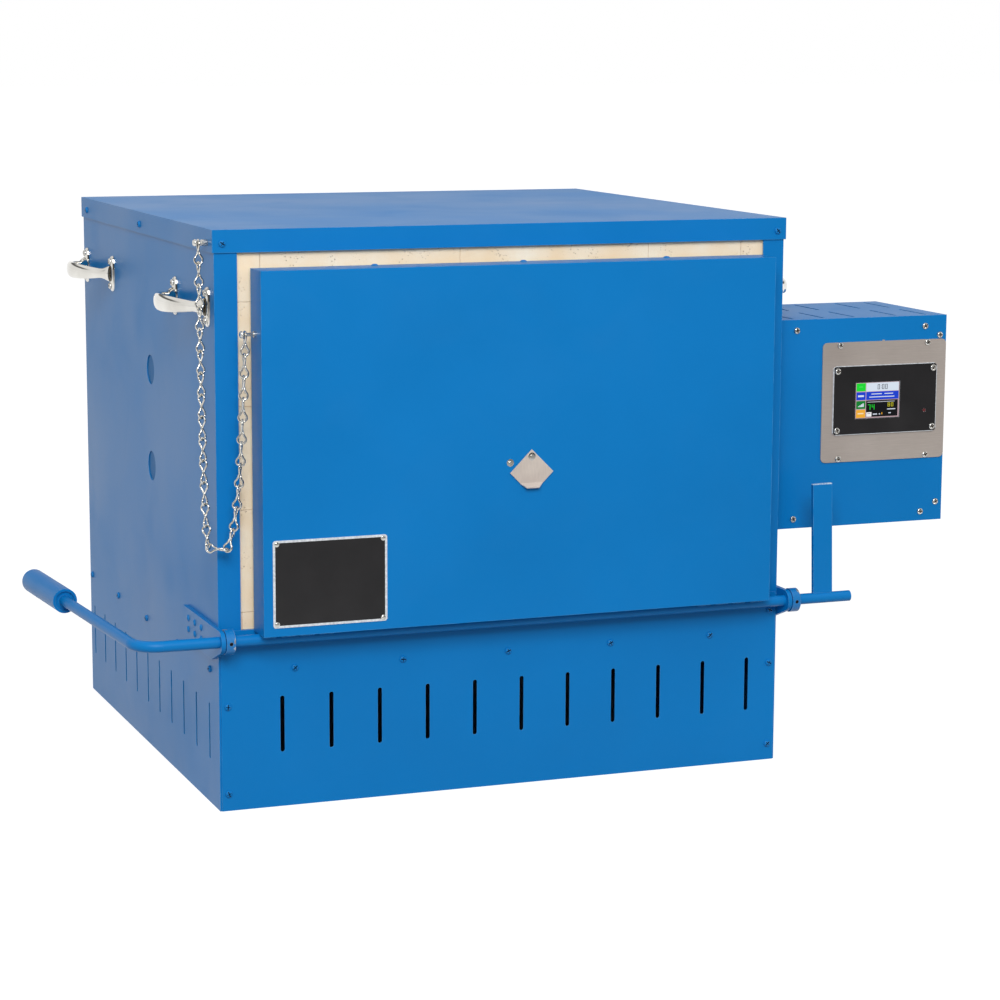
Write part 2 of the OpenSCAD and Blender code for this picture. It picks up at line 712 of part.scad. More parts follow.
module casing_screws() {
    color(blue) {
        for (s = [-1, 1]) {
            for (y = side_lip_y) if (s > 0 || y != chain_y)
                screw([s * (half_w + cover_out), y, lip_z], [s, 0, 0], cover_out + sheet + skin_grip);
            screw([s * front_lip_x, -cover_out, lip_z], [0, -1, 0], cover_out + sheet + 1);
            screw([s * back_lip_x, casing_d + cover_out, lip_z], [0, 1, 0],
                cover_out + 2 * sheet + 0.2);
            for (y = side_screw_y) screw([s * half_w, y, side_screw_z], [s, 0, 0], 5);
            for (z = edge_z) screw([s * edge_x, -sheet, z], [0, -1, 0], 2 * sheet + 1.5);
            for (z = back_screw_z) screw([s * back_screw_x, casing_d, z], [0, 1, 0], 2 * sheet + 0.3);
        }
        for (x = shelf_screw_x) {
            screw([x, -sheet, shelf_screw_z], [0, -1, 0], 6);
            screw([x, back_y, shelf_screw_z], [0, 1, 0], 5);
        }
    }
}

// Hinge bracket: a plate with a round nose about the rod and a slanted lower edge
module hinge_bracket(s) {
    q = [12 - rod_y, bracket_z0 - rod_z];
    a = atan2(q[1], q[0]) - acos(nose_r / norm(q));
    color(blue) translate([s > 0 ? half_w : -half_w - bracket_t, 0, 0]) difference() {
        translate([0, rod_y, rod_z]) rotate([90, 0, 90]) {
            linear_extrude(bracket_t) polygon([[nose_r * cos(a), nose_r * sin(a)], q,
                [bracket_back - rod_y, q[1]], [bracket_back - rod_y, nose_r], [0, nose_r]]);
            cylinder(r = nose_r, h = bracket_t);
        }
        hole([0, rod_y, rod_z], [1, 0, 0], bore_d, 12);
        for (p = rivet_yz) hole([0, p[0], p[1]], [1, 0, 0]);
    }
}

module hinge_bracket_left() { hinge_bracket(-1); }
module hinge_bracket_right() { hinge_bracket(1); }

module bracket_rivets() {
    color(blue) for (s = [-1, 1], p = rivet_yz)
        screw([s * (half_w + bracket_t), p[0], p[1]], [s, 0, 0], bracket_t + sheet + skin_grip, high = 2);
}

// Screw and spacer on the cover's lip that carry the chain
module chain_anchor() {
    x = -half_w - cover_out;
    color(steel) {
        translate([x, chain_y, lip_z]) toward([-1, 0, 0])
            cylinder(d = 7, h = chain_off - cover_out - 3);
        screw([chain_x - 3.2, chain_y, lip_z], [-1, 0, 0], chain_off + 3.2 + sheet + skin_grip);
    }
}

// Control box
module control_box_shell() {
    y0 = box_y0 + sheet + 0.1;
    color(blue) difference() {
        slab([box_x0, y0, box_z], [box_x1, box_y1, box_z1]);
        slab([box_x0 + sheet, y0 + sheet, box_z + sheet], [box_x1 - sheet, box_y1 - sheet,
            box_z1 - sheet]);
        slab([box_x0 + box_rim, y0 - 1, box_z + box_rim], [box_x1 - box_rim, y0 + 3,
            box_z1 - box_rim]);
        slab([box_x0 - 1, y0 + wall_rim, box_z + wall_rim], [box_x0 + 3, box_y1 - wall_rim,
            box_z1 - wall_rim]);
        for (p = front_screws) hole([p[0], y0, p[1]], [0, 1, 0], deep = 3);
        for (p = wall_screws) hole([box_x0, p[0], p[1]], [1, 0, 0], deep = 3);
        for (x = top_slot_x, k = [0, 1]) {
            y = box_y0 + 10 + k * 92;
            slab([half_w + x - 1.75, y + 1.75, box_z1 - 3], [half_w + x + 1.75, y + 65.25, box_z1 + 1]);
            for (e = [1.75, 65.25]) translate([half_w + x, y + e, box_z1 - 3])
                cylinder(d = 3.5, h = 4, $fn = 24);
        }
        hole([gland_x, box_y1, gland_z], [0, 1, 0], gland_d - 3.6, 3);
    }
}

module window(y, t) {
    slab([screen_x - window_w / 2, y - 1, screen_z - window_h / 2],
        [screen_x + window_w / 2, y + t + 1, screen_z + window_h / 2]);
}

module control_box_front() {
    color(blue) difference() {
        slab([box_x0, box_y0, box_z], [box_x1, box_y0 + sheet, box_z1]);
        window(box_y0, sheet);
        for (p = concat(front_screws, plate_screws, face_screws))
            hole([p[0], box_y0, p[1]], [0, 1, 0], deep = 3);
    }
}

module box_screws() {
    color(steel) {
        for (p = front_screws) screw([p[0], box_y0, p[1]], [0, -1, 0], 6);
        for (p = wall_screws) screw([box_x0 + sheet, p[0], p[1]], [1, 0, 0], 2 * sheet + 0.6,
            high = 2);
    }
}

module mounting_plate() {
    color([0.62, 0.59, 0.57]) difference() {
        union() {
            card(plate_x, box_y0, plate_z, plate_w, plate_h, plate_t, 6);
            slab([plate_x - 3.5, plate_y, plate_z + plate_h / 2 - 1],
                [plate_x - 0.5, box_y0, plate_z + plate_h / 2 + 1.2]);
        }
        window(plate_y, plate_t);
        for (p = concat(plate_screws, face_screws)) hole([p[0], box_y0, p[1]], [0, 1, 0], deep = 3);
    }
}

module panel_screws() {
    color(steel) {
        for (p = plate_screws) screw([p[0], plate_y, p[1]], [0, -1, 0], 6, high = 2.2);
        for (p = face_screws) screw([p[0], face_y, p[1]], [0, -1, 0],
            plate_t + face_t + sheet - 0.1, high = 2.2);
    }
}

module controller_faceplate() {
    color([0.08, 0.07, 0.07]) difference() {
        card(face_x, plate_y, face_z, face_w, face_h, face_t, 5);
        slab([screen_x - screen_w / 2, face_y - 1, screen_z - screen_h / 2],
            [screen_x + screen_w / 2, plate_y + 1, screen_z + screen_h / 2]);
        for (p = face_screws) hole([p[0], face_y, p[1]], [0, 1, 0], deep = 4);
        hole([light_x, face_y, light_z], [0, 1, 0], 4.4, 4);
    }
}

// Display glass in the faceplate's window and its housing behind
module display_module() {
    color([0.1, 0.12, 0.15]) {
        slab([screen_x - screen_w / 2 + 0.15, face_y + 0.3, screen_z - screen_h / 2 + 0.15],
            [screen_x + screen_w / 2 - 0.15, plate_y + 1, screen_z + screen_h / 2 - 0.15]);
        slab([screen_x - window_w / 2 + 0.5, plate_y, screen_z - window_h / 2 + 0.5],
            [screen_x + window_w / 2 - 0.5, box_y0 + 10, screen_z + window_h / 2 - 0.5]);
    }
}

module status_light() {
    color("darkred") translate([light_x, plate_y, light_z]) toward([0, -1, 0])
        cylinder(d = 4, h = face_t + 0.4, $fn = 24);
}

module controller_board() {
    y = box_y0 + 10;
    color([0.05, 0.3, 0.15]) {
        slab([screen_x - board_w / 2, y, screen_z - board_h / 2],
            [screen_x + board_w / 2, y + board_t, screen_z + board_h / 2]);
        slab([screen_x - board_w * 0.42, y + board_t - 0.1, screen_z - board_h * 0.375],
            [screen_x - board_w * 0.1, y + 14, screen_z - board_h * 0.125]);
        slab([screen_x + board_w * 0.06, y + board_t - 0.1, screen_z - board_h * 0.15],
            [screen_x + board_w * 0.25, y + 5, screen_z + board_h * 0.15]);
        slab([screen_x - board_w * 0.42, y + board_t - 0.1, screen_z + board_h * 0.1875],
            [screen_x + board_w * 0.42, y + 12, screen_z + board_h * 0.375]);
    }
}

module power_relays() {
    color([0.15, 0.15, 0.16]) for (k = [0, 1]) {
        z = thermo_z + (k == 0 ? -relay_gap - relay_base : relay_gap);
        y = thermo_y + 5;
        slab([half_w, y - relay_base / 2, z], [half_w + 3, y + relay_base / 2, z + relay_base]);
        slab([half_w + 2, y - relay_w / 2, z + relay_base / 2 - relay_w / 2],
            [half_w + relay_t, y + relay_w / 2, z + relay_base / 2 + relay_w / 2]);
    }
}

// Block on four legs that grips the element ends
module terminal_block() {
    color([0.45, 0.28, 0.16]) difference() {
        union() {
            slab([half_w + block_gap, element_y - block_w / 2, groove_z[0] - block_w / 2],
                [lead_end, element_y + block_w / 2, groove_z[3] + block_w / 2]);
            for (i = [0, 2]) translate([half_w, element_y, (groove_z[i] + groove_z[i + 1]) / 2])
                toward([1, 0, 0]) cylinder(d = 10, h = block_gap + 1);
        }
        for (z = groove_z) hole([lead_end - block_w / 2, element_y, z], [1, 0, 0],
            lead_d + 0.2, block_w + 2);
    }
}

module cord_gland() {
    color([0.1, 0.1, 0.1]) translate([gland_x, box_y1, gland_z]) toward([0, 1, 0]) difference() {
        union() {
            translate([0, 0, -10]) cylinder(d = gland_d - 4, h = 12);
            translate([0, 0, -sheet - 3]) cylinder(d = gland_d + 3, h = 3, $fn = 6);
            cylinder(d = gland_d + 4, h = 8, $fn = 6);
            translate([0, 0, 7]) cylinder(d = gland_d, h = 9);
            translate([0, 0, 16 - eps]) cylinder(d1 = gland_d, d2 = gland_bore + 4, h = 5);
        }
        translate([0, 0, -12]) cylinder(d = gland_bore, h = 40);
    }
}

// Door
module door_shell() {
    color(blue) difference() {
        slab([door_x0, door_front, door_z0], [door_x1, door_back, door_z1]);
        slab([door_x0 + sheet, door_front + sheet, door_z0 + sheet],
            [door_x1 - sheet, door_back + 1, door_z1 - sheet]);
        hole([peep_x, door_front, peep_z], [0, 1, 0], peep_d + 1, 4);
        hole([peep_x, door_front, pivot_z], [0, 1, 0], deep = 4);
        hole([stop_x, door_front, stop_z], [0, 1, 0], deep = 4);
        for (p = info_rivets) hole([p[0], door_front, p[1]], [0, 1, 0], 3.4, 4);
        for (x = door_screw_x) hole([x, door_screw_y, door_z1], [0, 0, 1], deep = 3);
        hole([door_x0, right_y, door_chain_z], [1, 0, 0], deep = 3);
    }
}

info_rivets = [for (i = [-1, 1], j = [-1, 1]) [info_x + i * (info_w / 2 - 4.5),
    info_z + j * (info_h / 2 - 4)]];

module door_lining() {
    y1 = door_back - sheet - 0.2;
    color(cream) difference() {
        union() {
            slab([door_x0 + lining_in, lining_front, door_z0 + lining_in],
                [door_x1 - lining_in, y1, door_z1 - lining_in]);
            slab([door_x0 + raised_in, y1 - 1, door_z0 + raised_in],
                [door_x1 - raised_in, lining_back, door_z1 - raised_in]);
        }
        for (j = [-0.5, 0.5]) slab([door_shift + j * brick_l, y1 + 0.5, door_z0],
            [door_shift + j * brick_l + joint_w, lining_back + 1, door_z1]);
        for (i = [1 : 3]) if (i * course_h < door_h - 30)
            slab([door_x0, y1 + 0.5, door_z0 + 2 + i * course_h],
                [door_x1, lining_back + 1, door_z0 + 2 + i * course_h + joint_w]);
        hole([peep_x, door_back, peep_z], [0, 1, 0], tube_d + 0.4, 60);
    }
}

// Frame in the shell whose lip holds the lining by its rebate
module door_frame() {
    a = frame_in + sheet;
    b = frame_in + frame_lip;
    color(blue) difference() {
        slab([door_x0 + frame_in, door_back - frame_leg, door_z0 + frame_in],
            [door_x1 - frame_in, door_back, door_z1 - frame_in]);
        slab([door_x0 + a, door_back - frame_leg - 1, door_z0 + a],
            [door_x1 - a, door_back - sheet, door_z1 - a]);
        slab([door_x0 + b, door_back - sheet - 1, door_z0 + b],
            [door_x1 - b, door_back + 1, door_z1 - b]);
        for (x = door_screw_x) hole([x, door_screw_y, door_z1 - frame_in], [0, 0, 1], deep = 3);
    }
}

module door_screws() {
    color(blue) for (x = door_screw_x)
        screw([x, door_screw_y, door_z1], [0, 0, 1], lining_in - 0.1, high = 2);
}

module door_chain_screw() {
    color(steel) {
        screw([door_chain_x - 3.2, right_y, door_chain_z], [-1, 0, 0],
            door_x0 - door_chain_x + 3.2 + sheet + 1);
        translate([door_x0, right_y, door_chain_z]) toward([-1, 0, 0]) cylinder(d = 7, h = 3);
    }
}

module info_plate() {
    color([0.12, 0.12, 0.13]) difference() {
        card(info_x, door_front, info_z, info_w, info_h, info_t, 3);
        for (p = info_rivets) hole([p[0], door_front, p[1]], [0, 1, 0], 3.4, 4);
    }
}

// Rivets of the info plate, pivot and stop of the peephole cover
module door_rivets() {
    color(steel) {
        for (p = info_rivets) screw([p[0], door_front - info_t, p[1]], [0, -1, 0],
            info_t + sheet + 0.1, 3, 6, 1.2);
        screw([peep_x, cover_y - cover_t - 0.15, pivot_z], [0, -1, 0],
            cover_t + 0.55 + sheet + 0.1, pivot_d, 9, 2);
        translate([peep_x, door_front, pivot_z]) toward([0, -1, 0]) cylinder(d = 9, h = 0.35);
        screw([stop_x, door_front, stop_z], [0, -1, 0], sheet + 0.1, screw_d, 9, 3.4);
    }
}

module peephole_tube() {
    color("ivory") translate([peep_x, door_front + sheet + 0.05, peep_z]) toward([0, 1, 0])
        difference() {
            cylinder(d = tube_d, h = lining_back - door_front - sheet - 0.05);
            translate([0, 0, -1]) cylinder(d = peep_d, h = door_t + 20);
        }
}

// Square cover, hung by one corner, with a bent finger lip at the bottom
module peephole_cover() {
    cut = cover_half - 12;
    color(steel) difference() {
        union() {
            intersection() {
                translate([peep_x, cover_y, peep_z]) rotate([90, 45, 0]) translate([0, 0, cover_t / 2])
                    cube([peep_side_len, peep_side_len, cover_t], center = true);
                slab([peep_x - 40, cover_y + 1, peep_z - 12], [peep_x + 40, cover_y - 5, peep_z + 40]);
            }
            translate([peep_x, cover_y - cover_t, peep_z - 12]) rotate([-50, 0, 0]) rotate([-90, 0, 0])
                linear_extrude(cover_t)
                    polygon([[-cut, -0.6], [cut, -0.6], [cut - lip_taper, 7], [lip_taper - cut, 7]]);
        }
        hole([peep_x, cover_y, pivot_z], [0, 1, 0], pivot_d + 0.1, 6);
    }
}

// Rod under the door, bent back into the arm that carries the grip. The straights run 1 mm into the
// bend, which is a hair thicker, so their ends lie wholly inside it
module hinge_rod() {
    c = -arm_x + bend_tan;
    lap = 1;
    color(blue) {
        translate([c - lap, rod_y, rod_z]) toward([1, 0, 0]) cylinder(d = rod_d, h = rod_right - c + lap);
        translate([c, rod_y + bend_r, rod_z]) rotate([0, 0, -90 - bend_a])
            rotate_extrude(angle = bend_a) translate([bend_r, 0]) circle(d = rod_d + 0.1);
        translate([-arm_x, rod_y, rod_z]) rotate([-90, 0, arm_splay])
            translate([0, 0, bend_tan - lap]) cylinder(d = rod_d, h = arm_len + spigot - bend_tan + lap);
    }
}

module arm_grip() {
    r = grip_d / 2;
    f = 8;
    color(blue) translate([-arm_x, rod_y, rod_z]) rotate([-90, 0, arm_splay])
        translate([0, 0, arm_len]) rotate_extrude() difference() {
            union() {
                square([r, grip_len - f]);
                square([r - f, grip_len]);
                translate([r - f, grip_len - f]) intersection() {
                    circle(f);
                    square(f);
                }
            }
            translate([-1, -1]) square([1 + rod_d / 2 + 0.03, spigot + 3]);
            translate([-1, -1]) square([1 + r - 3, 4]);
        }
}

module lever_bar() {
    color(blue) difference() {
        translate([lever_x, rod_y, rod_z]) rotate([0, -lever_lean, 0])
            slab([-lever_w / 2, -lever_t / 2, 0], [lever_w / 2, lever_t / 2, lever_h]);
        hole([lever_x, rod_y, rod_z], [1, 0, 0], rod_d + 0.04, 40);
    }
}

module shaft_collars() {
    color(steel) for (x = [collar_left, collar_right]) translate([x, rod_y, rod_z])
        toward([1, 0, 0]) difference() {
            cylinder(d = collar_d, h = collar_w);
            translate([0, 0, -1]) cylinder(d = bore_d, h = collar_w + 2);
            translate([0, 0, collar_w / 2]) rotate([90, 0, 0]) cylinder(d = 4.2, h = collar_d);
        }
}

module collar_screws() {
    r = rod_d / 2 + 0.03;
    color([0.2, 0.2, 0.2]) for (x = [collar_left, collar_right])
        translate([x + collar_w / 2, rod_y - r, rod_z]) toward([0, -1, 0]) difference() {
            cylinder(d = 4, h = collar_d / 2 - 0.8 - r, $fn = 24);
            translate([0, 0, collar_d / 2 - 2.8 - r]) cylinder(d = 2, h = 4, $fn = 6);
        }
}

// Weld beads between the rod and the door, and at the lever's foot
module rod_welds() {
    color(blue) difference() {
        for (s = [-1, 1], k = [0 : 3])
            translate([s * (door_w / 2 - 10 - 22 * k) + door_shift - 8, rod_y - 5.6, rod_z + 4.6])
                toward([1, 0, 0]) cylinder(d = 5.6, h = 16, $fn = 24);
        slab([-half_w, rod_y - 20, door_z0 - 0.02], [half_w, rod_y + 20, door_z0 + 20]);
        hole([0, rod_y, rod_z], [1, 0, 0], rod_d + 0.04, half_w);
    }
}

// One chain link from node p: round loops at both ends in crossed planes
module chain_link(low) {
    e = link_len / 2 - loop_r;
    translate([0, 0, link_len / 2 - low]) {
        for (k = [-1, 1]) translate([0, 0, k * e]) rotate(k > 0 ? [0, 90, 0] : [90, 0, 0])
            rotate_extrude($fn = 32) translate([loop_r, 0]) circle(d = wire_d, $fn = 16);
        translate([0, 0, loop_r - e]) cylinder(d = wire_d, h = 2 * (e - loop_r), $fn = 16);
    }
}

// Links first to last of the leg at the casing's side, twisted a little more from link to link
module casing_leg(first, last) {
    n = casing_links;
    color(steel) for (j = [first : last])
        translate([chain_x, left_y + leg_out(j - 1, tight, n), chain_z + leg_up(j - 1, tight, n)])
            rotate([climb(j) - 90, 0, 0]) rotate([0, 0, (90 - chain_turn) * (n - j) / (n - 1)])
                chain_link(tight);
}

module door_leg(first, last) {
    n = door_links;
    color(steel) for (j = [first : last])
        translate([right_x + leg_out(j - 1, loose, n), right_y, chain_z + leg_up(j - 1, loose, n)])
            rotate([0, 90 - climb(j), 0]) rotate([0, 0, -chain_turn * (n - j) / (n - 1)])
                chain_link(j == 1 ? loose : tight);
}

module chain_leg_casing() { casing_leg(2, casing_links); }
module chain_link_left() { casing_leg(1, 1); }
module chain_link_right() { door_leg(1, 1); }
module chain_leg_door() { door_leg(2, door_links); }

module chain_link_bottom() {
    color(steel) translate([chain_x, left_y, chain_z]) rotate([0, 90, -chain_turn]) chain_link(loose);
}

side_panel_left();
side_panel_right();
back_panel();
top_cover();
base_front_panel();
brick_shelf();
port_plugs();
left_wall_bricks();
right_wall_bricks();
back_wall_bricks();
roof_bricks();
floor_bricks();
fibre_blankets();
heating_elements();
lead_bushes();
thermocouple();
handle_left_front();
handle_left_rear();
handle_right_front();
handle_right_rear();
handle_screws();
casing_screws();
hinge_bracket_left();
hinge_bracket_right();
bracket_rivets();
chain_anchor();
control_box_shell();
control_box_front();
box_screws();
mounting_plate();
panel_screws();
controller_faceplate();
display_module();
status_light();
controller_board();
power_relays();
terminal_block();
cord_gland();
door_shell();
door_lining();
door_frame();
door_screws();
door_chain_screw();
info_plate();
door_rivets();
peephole_tube();
peephole_cover();
hinge_rod();
arm_grip();
lever_bar();
shaft_collars();
collar_screws();
rod_welds();
chain_leg_casing();
chain_link_left();
chain_link_bottom();
chain_link_right();
chain_leg_door();
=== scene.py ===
import json
import math

import bmesh
import bpy
from bpy.props import (
    FloatProperty,
    FloatVectorProperty,
    IntProperty,
    PointerProperty,
    StringProperty,
)
from mathutils import Matrix, Vector

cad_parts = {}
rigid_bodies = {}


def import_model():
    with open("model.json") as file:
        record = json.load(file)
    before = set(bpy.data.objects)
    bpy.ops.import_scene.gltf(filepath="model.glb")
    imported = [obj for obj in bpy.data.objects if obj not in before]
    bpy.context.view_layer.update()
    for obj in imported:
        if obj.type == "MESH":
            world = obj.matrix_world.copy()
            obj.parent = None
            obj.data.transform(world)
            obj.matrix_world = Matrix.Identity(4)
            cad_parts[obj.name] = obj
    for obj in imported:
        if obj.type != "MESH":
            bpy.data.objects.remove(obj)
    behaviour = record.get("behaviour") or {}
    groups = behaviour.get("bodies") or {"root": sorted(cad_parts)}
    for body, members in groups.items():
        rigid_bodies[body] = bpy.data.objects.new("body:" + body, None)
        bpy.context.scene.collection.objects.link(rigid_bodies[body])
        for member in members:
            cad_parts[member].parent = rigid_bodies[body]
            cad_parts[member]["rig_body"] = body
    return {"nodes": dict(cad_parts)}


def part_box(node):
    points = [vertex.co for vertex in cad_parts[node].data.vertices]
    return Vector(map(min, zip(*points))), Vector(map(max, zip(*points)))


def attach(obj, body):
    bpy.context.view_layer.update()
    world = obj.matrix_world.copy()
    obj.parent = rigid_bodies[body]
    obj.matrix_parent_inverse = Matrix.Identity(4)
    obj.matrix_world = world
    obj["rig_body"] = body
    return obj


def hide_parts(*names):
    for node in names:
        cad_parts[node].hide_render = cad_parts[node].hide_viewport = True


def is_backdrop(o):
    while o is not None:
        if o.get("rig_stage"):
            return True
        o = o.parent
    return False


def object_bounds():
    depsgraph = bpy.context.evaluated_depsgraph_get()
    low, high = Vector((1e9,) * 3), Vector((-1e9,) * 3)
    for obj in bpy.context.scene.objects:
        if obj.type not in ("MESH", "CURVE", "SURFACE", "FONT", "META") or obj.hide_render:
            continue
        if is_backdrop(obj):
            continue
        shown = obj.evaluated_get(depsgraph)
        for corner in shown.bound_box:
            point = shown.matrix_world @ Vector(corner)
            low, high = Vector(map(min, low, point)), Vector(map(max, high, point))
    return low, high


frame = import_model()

bl_info = {
    "name": "Bead annealing kiln",
    "version": (1, 0, 0),
    "blender": (4, 5, 0),
    "location": "3D View > Sidebar > Kiln",
    "description": "Dresses the packed kiln: powder-coated sheet, fire bricks, coils, chain and controller",
    "category": "Object",
}

NODES = frame["nodes"]
BODY_OF = {node: obj["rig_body"] for node, obj in NODES.items()}
MM = 0.001


def srgb(r, g, b):
    """Linear colour of 0 to 255 screen values."""
    parts = [v / 255 for v in (r, g, b)]
    return tuple(v / 12.92 if v <= 0.04045 else ((v + 0.055) / 1.055) ** 2.4 for v in parts)


def colour_setting(name, description, default):
    return FloatVectorProperty(
        name=name, description=description, subtype="COLOR", size=3, min=0, max=1, default=default
    )


def length_setting(name, description, default, low=0.0, high=1.0):
    return FloatProperty(
        name=name, description=description, default=default, min=low, max=high, unit="LENGTH", precision=5
    )


def share_setting(name, description, default, high=1.0):
    return FloatProperty(
        name=name, description=description, default=default, min=0, max=high, subtype="FACTOR"
    )


# Settings


class KilnPaintSettings(bpy.types.PropertyGroup):
    blue: colour_setting("Powder coat", "Blue of the casing, door and box", srgb(0, 119, 191))
    # The pale blue and its share along edges and folds are a painted highlight where folds catch light, with
    # some edge rub.
    rubbed: colour_setting("Highlight and rubbed blue", "Paler blue along edges and folds", srgb(112, 176, 222))
    fold: length_setting("Fold radius", "Rounding of the sheet's edges and folds", 0.0005, 0.0001, 0.002)
    peel: length_setting("Orange peel", "Height of the coat's fine waves", 0.00005, 0, 0.001)
    highlight_and_rub_share: share_setting("Edge rub and highlight", "How far the pale blue covers the edges", 0.45)


class KilnBrickSettings(bpy.types.PropertyGroup):
    cream: colour_setting("Brick", "Cream of the insulating bricks", srgb(255, 244, 222))
    tan: colour_setting("Toasted brick", "Tan patches of the bricks", srgb(248, 216, 172))
    spot: colour_setting("Iron spots", "Brown spots in the bricks", srgb(128, 72, 40))
    rounding: length_setting("Arris", "Rounding of the bricks' edges", 0.0008, 0.0001, 0.004)
    pit: length_setting("Pit depth", "Depth of the bricks' pores", 0.0007, 0, 0.004)


class KilnHeaterSettings(bpy.types.PropertyGroup):
    wire: length_setting("Wire", "Diameter of the element wire", 0.0016, 0.0005, 0.004)
    coil: length_setting("Coil", "Outside diameter of the coils", 0.0095, 0.004, 0.02)
    pitch: length_setting("Pitch", "Distance from turn to turn", 0.0042, 0.002, 0.02)
    steps: IntProperty(name="Steps", description="Points in one turn", default=9, min=6, max=24)


class KilnFastenerSettings(bpy.types.PropertyGroup):
    recess: share_setting("Recess", "Width of the driver slots as a share of the head", 0.17, 0.5)
    seed: IntProperty(name="Seed", description="Seed of the screws' turns", default=7, min=0)


class KilnHandleSettings(bpy.types.PropertyGroup):
    reach: length_setting("Reach", "How far the bow stands out", 0.042, 0.02, 0.06)
    tall: length_setting("Bow height", "Height of the bow at its middle", 0.0195, 0.01, 0.03)
    thick: length_setting("Bow thickness", "Thickness of the bow", 0.011, 0.005, 0.015)
    foot: length_setting("Foot height", "Height of a foot", 0.044, 0.03, 0.06)


class KilnChainSettings(bpy.types.PropertyGroup):
    wire: length_setting("Wire", "Diameter of the chain's wire", 0.0023, 0.001, 0.003)
    loop: length_setting("Loop radius", "Radius of the loops' round ends", 0.0046, 0.003, 0.006)
    link: length_setting("Link", "Length between the loops' outer centre lines", 0.0263, 0.02, 0.03)


class KilnControllerSettings(bpy.types.PropertyGroup):
    reading: StringProperty(name="Reading", description="Green number on the screen", default="74")
    target: StringProperty(name="Target", description="Yellow number on the screen", default="80")
    clock: StringProperty(name="Clock", description="Dark number in the white bar", default="0:00")
    glow: FloatProperty(name="Glow", description="Strength of the screen", default=0.85, min=0, max=5)


class KilnStudioSettings(bpy.types.PropertyGroup):
    key: FloatProperty(name="Key lamp", description="Front lamp", default=124.0, min=0, unit="POWER")
    fill: FloatProperty(name="Fill lamp", description="Right lamp", default=10.0, min=0, unit="POWER")
    sky: FloatProperty(name="Sky", description="Light from all round", default=0.56, min=0, max=2)
    dark: FloatProperty(
        name="Dark front", description="Studio that faces see in front", default=0.05, min=0, max=1
    )


SECTIONS = {
    "paint": KilnPaintSettings,
    "brick": KilnBrickSettings,
    "heater": KilnHeaterSettings,
    "fastener": KilnFastenerSettings,
    "handle": KilnHandleSettings,
    "chain": KilnChainSettings,
    "controller": KilnControllerSettings,
    "studio": KilnStudioSettings,
}


class KilnSettings(bpy.types.PropertyGroup):
    pass


KilnSettings.__annotations__ = {
    name: PointerProperty(name=name.capitalize(), description=f"Settings of the {name}", type=section)
    for name, section in SECTIONS.items()
}


def settings(section):
    return getattr(bpy.context.scene.kiln, section)


# Shared effects


def add_node(tree, kind, inputs=None, **attributes):
    node = tree.nodes.new(kind)
    for name, value in attributes.items():
        setattr(node, name, value)
    for socket, value in (inputs or {}).items():
        if isinstance(value, bpy.types.NodeSocket):
            tree.links.new(value, node.inputs[socket])
        else:
            node.inputs[socket].default_value = value
    return node


def new_group(name, inputs, outputs):
    """A shader node group with named sockets, and its input and output nodes."""
    tree = bpy.data.node_groups.new(name, "ShaderNodeTree")
    for label, (kind, default) in inputs.items():
        socket = tree.interface.new_socket(label, in_out="INPUT", socket_type=kind)
        if default is not None:
            socket.default_value = default
    for label, kind in outputs.items():
        tree.interface.new_socket(label, in_out="OUTPUT", socket_type=kind)
    return tree, add_node(tree, "NodeGroupInput").outputs, add_node(tree, "NodeGroupOutput").inputs


def map_range(tree, value, low, high, to_low=0.0, to_high=1.0):
    return add_node(
        tree, "ShaderNodeMapRange", {0: value, 1: low, 2: high, 3: to_low, 4: to_high}
    ).outputs[0]


def maths(tree, operation, a, b=0.0):
    return add_node(tree, "ShaderNodeMath", {0: a, 1: b}, operation=operation).outputs[0]


def edge_rub_and_highlight_group():
    """Mask that is 1 along edges, broken up by a noise."""
    tree, given, out = new_group(
        "Edge rub and highlight",
        {
            "Vector": ("NodeSocketVector", None),
            "Radius": ("NodeSocketFloat", 0.0012),
            "Reach": ("NodeSocketFloat", 0.12),
            "Breakup": ("NodeSocketFloat", 60.0),
        },
        {"Mask": "NodeSocketFloat"},
    )
    rounded = add_node(tree, "ShaderNodeBevel", {"Radius": given["Radius"]}, samples=4)
    flat = add_node(tree, "ShaderNodeNewGeometry")
    dot = add_node(
        tree,
        "ShaderNodeVectorMath",
        {0: rounded.outputs[0], 1: flat.outputs["Normal"]},
        operation="DOT_PRODUCT",
    )
    bend = map_range(tree, maths(tree, "SUBTRACT", 1.0, dot.outputs["Value"]), 0.004, given["Reach"])
    noise = add_node(
        tree, "ShaderNodeTexNoise", {"Vector": given["Vector"], "Scale": given["Breakup"], "Detail": 4.0}
    )
    broken = map_range(tree, noise.outputs[0], 0.35, 0.62)
    tree.links.new(maths(tree, "MULTIPLY", bend, broken), out["Mask"])
    return tree


def grain_group():
    """Tone and height of a fine noise, stretched along an axis where a finish has a lay."""
    tree, given, out = new_group(
        "Grain",
        {
            "Vector": ("NodeSocketVector", None),
            "Stretch": ("NodeSocketVector", (1.0, 1.0, 1.0)),
            "Scale": ("NodeSocketFloat", 100.0),
            "Detail": ("NodeSocketFloat", 3.0),
        },
        {"Tone": "NodeSocketFloat", "Height": "NodeSocketFloat"},
    )
    stretched = add_node(
        tree, "ShaderNodeVectorMath", {0: given["Vector"], 1: given["Stretch"]}, operation="MULTIPLY"
    )
    noise = add_node(
        tree,
        "ShaderNodeTexNoise",
        {"Vector": stretched.outputs[0], "Scale": given["Scale"], "Detail": given["Detail"]},
    )
    tree.links.new(map_range(tree, noise.outputs[0], 0.3, 0.7), out["Tone"])
    tree.links.new(noise.outputs[0], out["Height"])
    return tree


